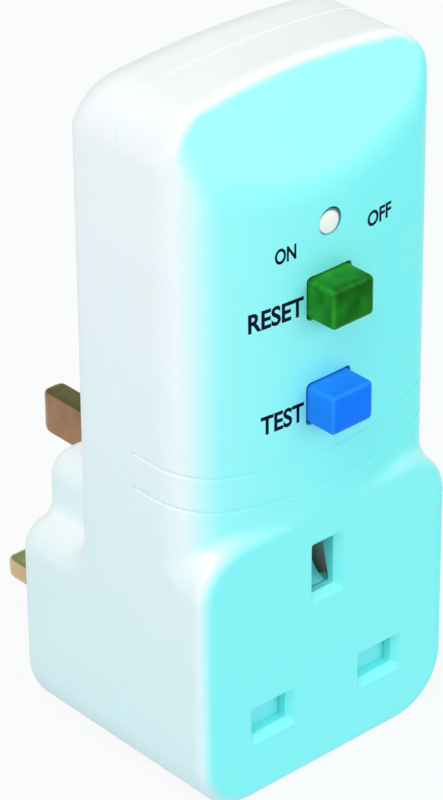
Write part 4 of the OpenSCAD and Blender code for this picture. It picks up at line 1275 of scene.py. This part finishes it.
def copies_tree():
    """One model piece at every point of the base mesh."""
    if "copies_on_points" in bpy.data.node_groups:
        return bpy.data.node_groups["copies_on_points"]
    tree, given, end = new_tree("copies_on_points", [("Model", "NodeSocketObject"),
                                                     ("Material", "NodeSocketMaterial")])
    model = add(tree, "GeometryNodeObjectInfo", {"Object": given["Model"]})
    copies = add(tree, "GeometryNodeInstanceOnPoints", {"Points": given["Geometry"],
                                                        "Instance": model.outputs["Geometry"]})
    finish_tree(tree, copies.outputs[0], given["Material"], end)
    return tree


def copies(model, points, material):
    """Mesh of one model mesh at every point; the model's own place is the origin."""
    base = bpy.data.meshes.new("points")
    base.from_pydata(points, [], [])
    shape = scratch_object(model)
    mesh = run_tree(copies_tree(), base, {"Model": shape, "Material": material})
    bpy.data.objects.remove(shape)
    return mesh


def cross_screw(head, shank, head_high, long, pitch, recess):
    """A pan-head screw along Y with its seat at the origin: head behind, ringed shank in front.

    head and shank are radii, long is the shank's length, and recess is the depth of the cross in the head.
    """
    tip = 1.2 * MM
    unthreaded = 2.4 * MM
    neck = 1.1 * MM
    core = 0.82 * shank
    point = 0.3 * shank
    taper = 0.8 * shank
    rows = [(-long, point), (-long + tip, taper)]
    for i in range(int((long - unthreaded) / pitch)):
        rows.append((-long + tip + pitch * i, core))
        rows.append((-long + tip + pitch * (i + 0.5), shank))
    # The head's side is straight for a part of its height and domed above it.
    straight = 0.45
    dome = 0.8
    rows += [(-neck, core), (0, core), (0, head), (head_high * straight, head)]
    for share in (0.3, 0.6, 0.85, 1.0):
        rise = straight + (1 - straight) * share
        rows.append((head_high * rise, head * math.sqrt(1 - (dome * share) ** 2)))
    bm = bmesh.new()
    bar_along_y(bm, 0, 0, round_rows([(depth - FACE_Y, radius) for depth, radius in rows]))
    screw = tidy_mesh(bm, "screw")
    slot = 0.16 * head
    arm = 0.55 * head
    foot = 0.8
    corner = 0.05 * MM
    for half_x, half_z in ((arm, slot), (slot, arm)):
        blade = bmesh.new()
        bar_along_y(blade, 0, 0, [(head_high - recess - FACE_Y, half_x * foot, half_z * foot, corner),
                                  (head_high + MM - FACE_Y, half_x, half_z, corner)], steps=1)
        screw = cut_away(screw, tidy_mesh(blade, "blade"))
    return screw


class ADAPTER_OT_screws(bpy.types.Operator):
    """Screws of the case and of the board"""
    bl_idname = "adapter.screws"
    bl_label = "Screws"

    def execute(self, context):
        case = context.scene.adapter_case
        colours = context.scene.adapter_colours
        # Zinc-plated steel: pale grey, softly shiny
        zinc = drawn_metal("zinc_plated_steel", colours.steel, roughness=0.34, pitch=0.15 * MM,
                           stretch=(1, 4, 1), change=0.08)
        low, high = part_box("cover_screws")
        head_high = 2 * MM
        seat = high.y - head_high
        model = cross_screw(head=2.5 * MM, shank=1.45 * MM, head_high=head_high, long=seat - low.y,
                            pitch=1.1 * MM, recess=1.2 * MM)
        spots = [(x, seat, z) for x, z in cover_screw_spots(case)]
        mesh = copies(model, spots, zinc)
        place_piece("case_screws", mesh, zinc, "case", ["cover_screws"])
        low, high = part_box("board_screws")
        board_low, board_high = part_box("circuit_board")
        seat = board_low.y
        model = cross_screw(head=1.9 * MM, shank=MM, head_high=seat - low.y, long=high.y - seat,
                            pitch=0.7 * MM, recess=0.7 * MM)
        model.transform(Matrix.Rotation(math.pi, 4, "Z"))
        # One screw below and two above
        lower = board_low.z + 3.5 * MM
        upper = board_high.z - 4 * MM
        spots = [(4.1 * MM, seat, lower), (-12.5 * MM, seat, upper), (2.5 * MM, seat, upper)]
        mesh = copies(model, spots, zinc)
        place_piece("board_fixing_screws", mesh, zinc, "case", ["board_screws"])
        return {"FINISHED"}


# Finishes of the pieces inside

class ADAPTER_OT_inner_finishes(bpy.types.Operator):
    """Finishes of the pieces inside the case, which keep their solids"""
    bl_idname = "adapter.inner_finishes"
    bl_label = "Inner finishes"

    def execute(self, context):
        colours = context.scene.adapter_colours
        # Name, colour, roughness, width of the drawing lines in millimetres, their stretch along X, Y and Z,
        # change of colour, and the nodes
        metals = [
            # Rolled brass strip: yellow, with fine lines up the strip
            ("rolled_brass_strip", colours.strip_brass, 0.3, 0.2, (1, 1, 20), 0.08,
             ["test_contact_leaf", "line_contact", "neutral_contact", "earth_contact", "earth_strap",
              "line_bridge", "neutral_bridge"]),
            # Rolled copper bar: red-brown, a little dulled
            ("rolled_copper_bar", colours.copper, 0.36, 0.2, (1, 1, 20), 0.14,
             ["fixed_contacts", "line_supply_bar", "neutral_supply_bar", "line_load_bar",
              "neutral_load_bar"]),
            # Bright steel: turned pins and stamped plates
            ("bright_steel", colours.steel, 0.26, 0.12, (12, 1, 1), 0.08,
             ["flag_pin", "solenoid_yoke", "solenoid_plunger", "latch_lever", "latch_pin"]),
        ]
        # Name, colour, roughness, width and height of the grain in millimetres, change of colour, nodes
        plastics = [
            # Moulded PBT: cream and satin
            ("moulded_pbt", colours.inner, 0.45, 0.3, 0.015, 0.03,
             ["socket_tray", "contact_carrier", "solenoid_bobbin"]),
            # Glass-filled nylon: dark grey, with a coarser relief
            ("glass_filled_nylon", linear("#2C2D31"), 0.52, 0.25, 0.03, 0.12, ["mechanism_frame"]),
            # The shutter is of the case's own ABS, painted in the cyan cast and shade seen in the apertures
            ("moulded_abs_shutter", linear("#79EDF0"), 0.38, 0.35, 0.015, 0.03, ["shutter"]),
            # Glass-epoxy board under green solder mask: glossy, with a weave of 0.5 mm showing through
            ("solder_mask_board", linear("#1F5B31"), 0.32, 0.5, 0.012, 0.12, ["circuit_board"]),
            # Sintered ferrite: dark grey and granular
            ("sintered_ferrite", linear("#3B3C40"), 0.6, 0.4, 0.04, 0.15, ["sensing_core"]),
            # Dipped epoxy, boxed film, lacquer and moulded packages of the components
            ("dipped_epoxy_blue", linear("#2A58A8"), 0.3, 0.8, 0.03, 0.08, ["varistor"]),
            ("boxed_film_yellow", linear("#C99A35"), 0.38, 0.4, 0.015, 0.06, ["film_capacitor"]),
            ("lacquered_resistor", linear("#D2BD93"), 0.4, 0.5, 0.01, 0.06, ["test_resistor"]),
            ("moulded_epoxy_black", linear("#1C1C1E"), 0.55, 0.2, 0.02, 0.1,
             ["controller_chip", "rectifier_diodes"]),
        ]
        for name, base, rough, pitch, stretch, change, nodes in metals:
            dress_nodes(nodes, drawn_metal(name, base, rough, pitch * MM, stretch, change))
        for name, base, rough, grain, depth, change, nodes in plastics:
            dress_nodes(nodes, moulded_plastic(name, base, rough, grain * MM, depth * MM, change))
        return {"FINISHED"}


# Stage

class ADAPTER_OT_stage(bpy.types.Operator):
    """Pale floor, soft studio light and the camera"""
    bl_idname = "adapter.stage"
    bl_label = "Stage"

    def execute(self, context):
        scene = context.scene
        scene.view_settings.view_transform = "Standard"
        reach = 4.0
        corners = [(x * reach, y * reach, 0) for x, y in ((-1, -1), (1, -1), (1, 1), (-1, 1))]
        floor_mesh = bpy.data.meshes.new("floor")
        floor_mesh.from_pydata(corners, [], [(0, 1, 2, 3)])
        floor_mesh.materials.append(floor_paper())
        floor = bpy.data.objects.new("floor", floor_mesh)
        scene.collection.objects.link(floor)
        light_world(scene)
        aim = Vector((0, 0, 58 * MM))
        # Name, turn from the front to the right and height in degrees, distance, size and power of each lamp
        lamps = [("key_light", -68, 50, 1.0, 0.7, 4.4),
                 ("fill_light", 18, 20, 1.2, 1.0, 4.3)]
        for name, turn, rise, far, size, power in lamps:
            lamp = bpy.data.lights.new(name, "AREA")
            lamp.shape = "DISK"
            lamp.size = size
            lamp.energy = power
            obj = bpy.data.objects.new(name, lamp)
            scene.collection.objects.link(obj)
            back = way_out(turn, rise)
            obj.location = aim + back * far
            obj.rotation_euler = (-back).to_track_quat("-Z", "Y").to_euler()
        add_camera(scene)
        return {"FINISHED"}


def way_out(turn, rise):
    """Direction away from the part, turned from the front to the right and raised, both in degrees."""
    a = math.radians(turn)
    e = math.radians(rise)
    return Vector((math.sin(a) * math.cos(e), -math.cos(a) * math.cos(e), math.sin(e)))


def floor_paper():
    """Matt white paper that reads as a white ground and still takes the shadow."""
    material = bpy.data.materials.new("matt_white_paper")
    material.use_nodes = True
    tree = material.node_tree
    tree.nodes.clear()
    paper = add(tree, "ShaderNodeBsdfDiffuse", {"Color": linear("#CFDCE4")})
    glow = add(tree, "ShaderNodeEmission", {"Color": (1, 1, 1, 1), "Strength": 1.0})
    glow_share = 0.9
    seen = calc(tree, "MULTIPLY", seen_directly(tree), glow_share)
    both = add(tree, "ShaderNodeMixShader", {0: seen, 1: paper.outputs[0], 2: glow.outputs[0]})
    add(tree, "ShaderNodeOutputMaterial", {"Surface": both.outputs[0]})
    return material


def seen_directly(tree):
    """Whether a ray comes from the camera, a mirror-like surface or a clear one."""
    path = add(tree, "ShaderNodeLightPath").outputs
    two = calc(tree, "MAXIMUM", path["Is Camera Ray"], path["Is Glossy Ray"])
    return calc(tree, "MAXIMUM", two, path["Is Transmission Ray"])


def light_world(scene):
    """An even pale world: dimmer as light than as a background."""
    world = bpy.data.worlds.new("studio")
    world.use_nodes = True
    scene.world = world
    tree = world.node_tree
    tree.nodes.clear()
    strength = add(tree, "ShaderNodeMapRange", {"Value": seen_directly(tree), "To Min": 0.6, "To Max": 1.0})
    # Metal mirrors a blue-green card behind the object, which gives the pins their dark olive upper faces.
    way = add(tree, "ShaderNodeSeparateXYZ", {"Vector": add(tree, "ShaderNodeTexCoord").outputs["Generated"]})
    card = add(tree, "ShaderNodeMapRange", {"Value": way.outputs["Y"], "From Min": 0.4, "From Max": 0.62})
    mirrored = add(tree, "ShaderNodeLightPath").outputs["Is Glossy Ray"]
    share = calc(tree, "MULTIPLY", card.outputs["Result"], mirrored)
    shade = blend(tree, share, (1, 1, 1, 1), linear("#92C2A6"))
    light = add(tree, "ShaderNodeBackground", {"Color": shade, "Strength": strength.outputs["Result"]})
    add(tree, "ShaderNodeOutputWorld", {"Surface": light.outputs[0]})


def add_camera(scene):
    """A long lens to the left of the front, looking down at the case."""
    camera = bpy.data.cameras.new("camera")
    # The image is 443 by 800 pixels, so the sensor's width lies along its height.
    camera.sensor_width = 36
    camera.lens = 174.5
    camera.clip_start = 0.01
    camera.clip_end = 20
    obj = bpy.data.objects.new("camera", camera)
    scene.collection.objects.link(obj)
    obj.location = Vector((-336.9, -377.5, 355.3)) * MM
    ahead = -way_out(-41.57, 30.62)
    roll = math.radians(-0.5)
    obj.rotation_mode = "QUATERNION"
    obj.rotation_quaternion = ahead.to_track_quat("-Z", "Y") @ Quaternion((0, 0, 1), roll)
    scene.camera = obj


PIECES = (ADAPTER_OT_front_shell, ADAPTER_OT_rear_shell, ADAPTER_OT_buttons, ADAPTER_OT_indicator,
          ADAPTER_OT_legends, ADAPTER_OT_pins, ADAPTER_OT_springs, ADAPTER_OT_windings, ADAPTER_OT_screws,
          ADAPTER_OT_inner_finishes, ADAPTER_OT_stage)


class ADAPTER_PT_pieces(bpy.types.Panel):
    """Lists the pieces, their sizes and their colours"""
    bl_idname = "ADAPTER_PT_pieces"
    bl_label = "Adapter Plug"
    bl_space_type = "VIEW_3D"
    bl_region_type = "UI"
    bl_category = "Adapter Plug"

    def draw(self, context):
        layout = self.layout
        scene = context.scene
        for group in (scene.adapter_case, scene.adapter_controls, scene.adapter_colours):
            column = layout.column(align=True)
            for name in group.__annotations__:
                column.prop(group, name)
        for piece in PIECES:
            layout.operator(piece.bl_idname)


CLASSES = (AdapterCase, AdapterControls, AdapterColours, *PIECES, ADAPTER_PT_pieces)


def register():
    for item in CLASSES:
        bpy.utils.register_class(item)
    bpy.types.Scene.adapter_case = PointerProperty(type=AdapterCase)
    bpy.types.Scene.adapter_controls = PointerProperty(type=AdapterControls)
    bpy.types.Scene.adapter_colours = PointerProperty(type=AdapterColours)


def unregister():
    del bpy.types.Scene.adapter_colours
    del bpy.types.Scene.adapter_controls
    del bpy.types.Scene.adapter_case
    for item in reversed(CLASSES):
        bpy.utils.unregister_class(item)


def main():
    register()
    for piece in PIECES:
        group, name = piece.bl_idname.split(".")
        getattr(getattr(bpy.ops, group), name)()


if __name__ == "__main__":
    main()
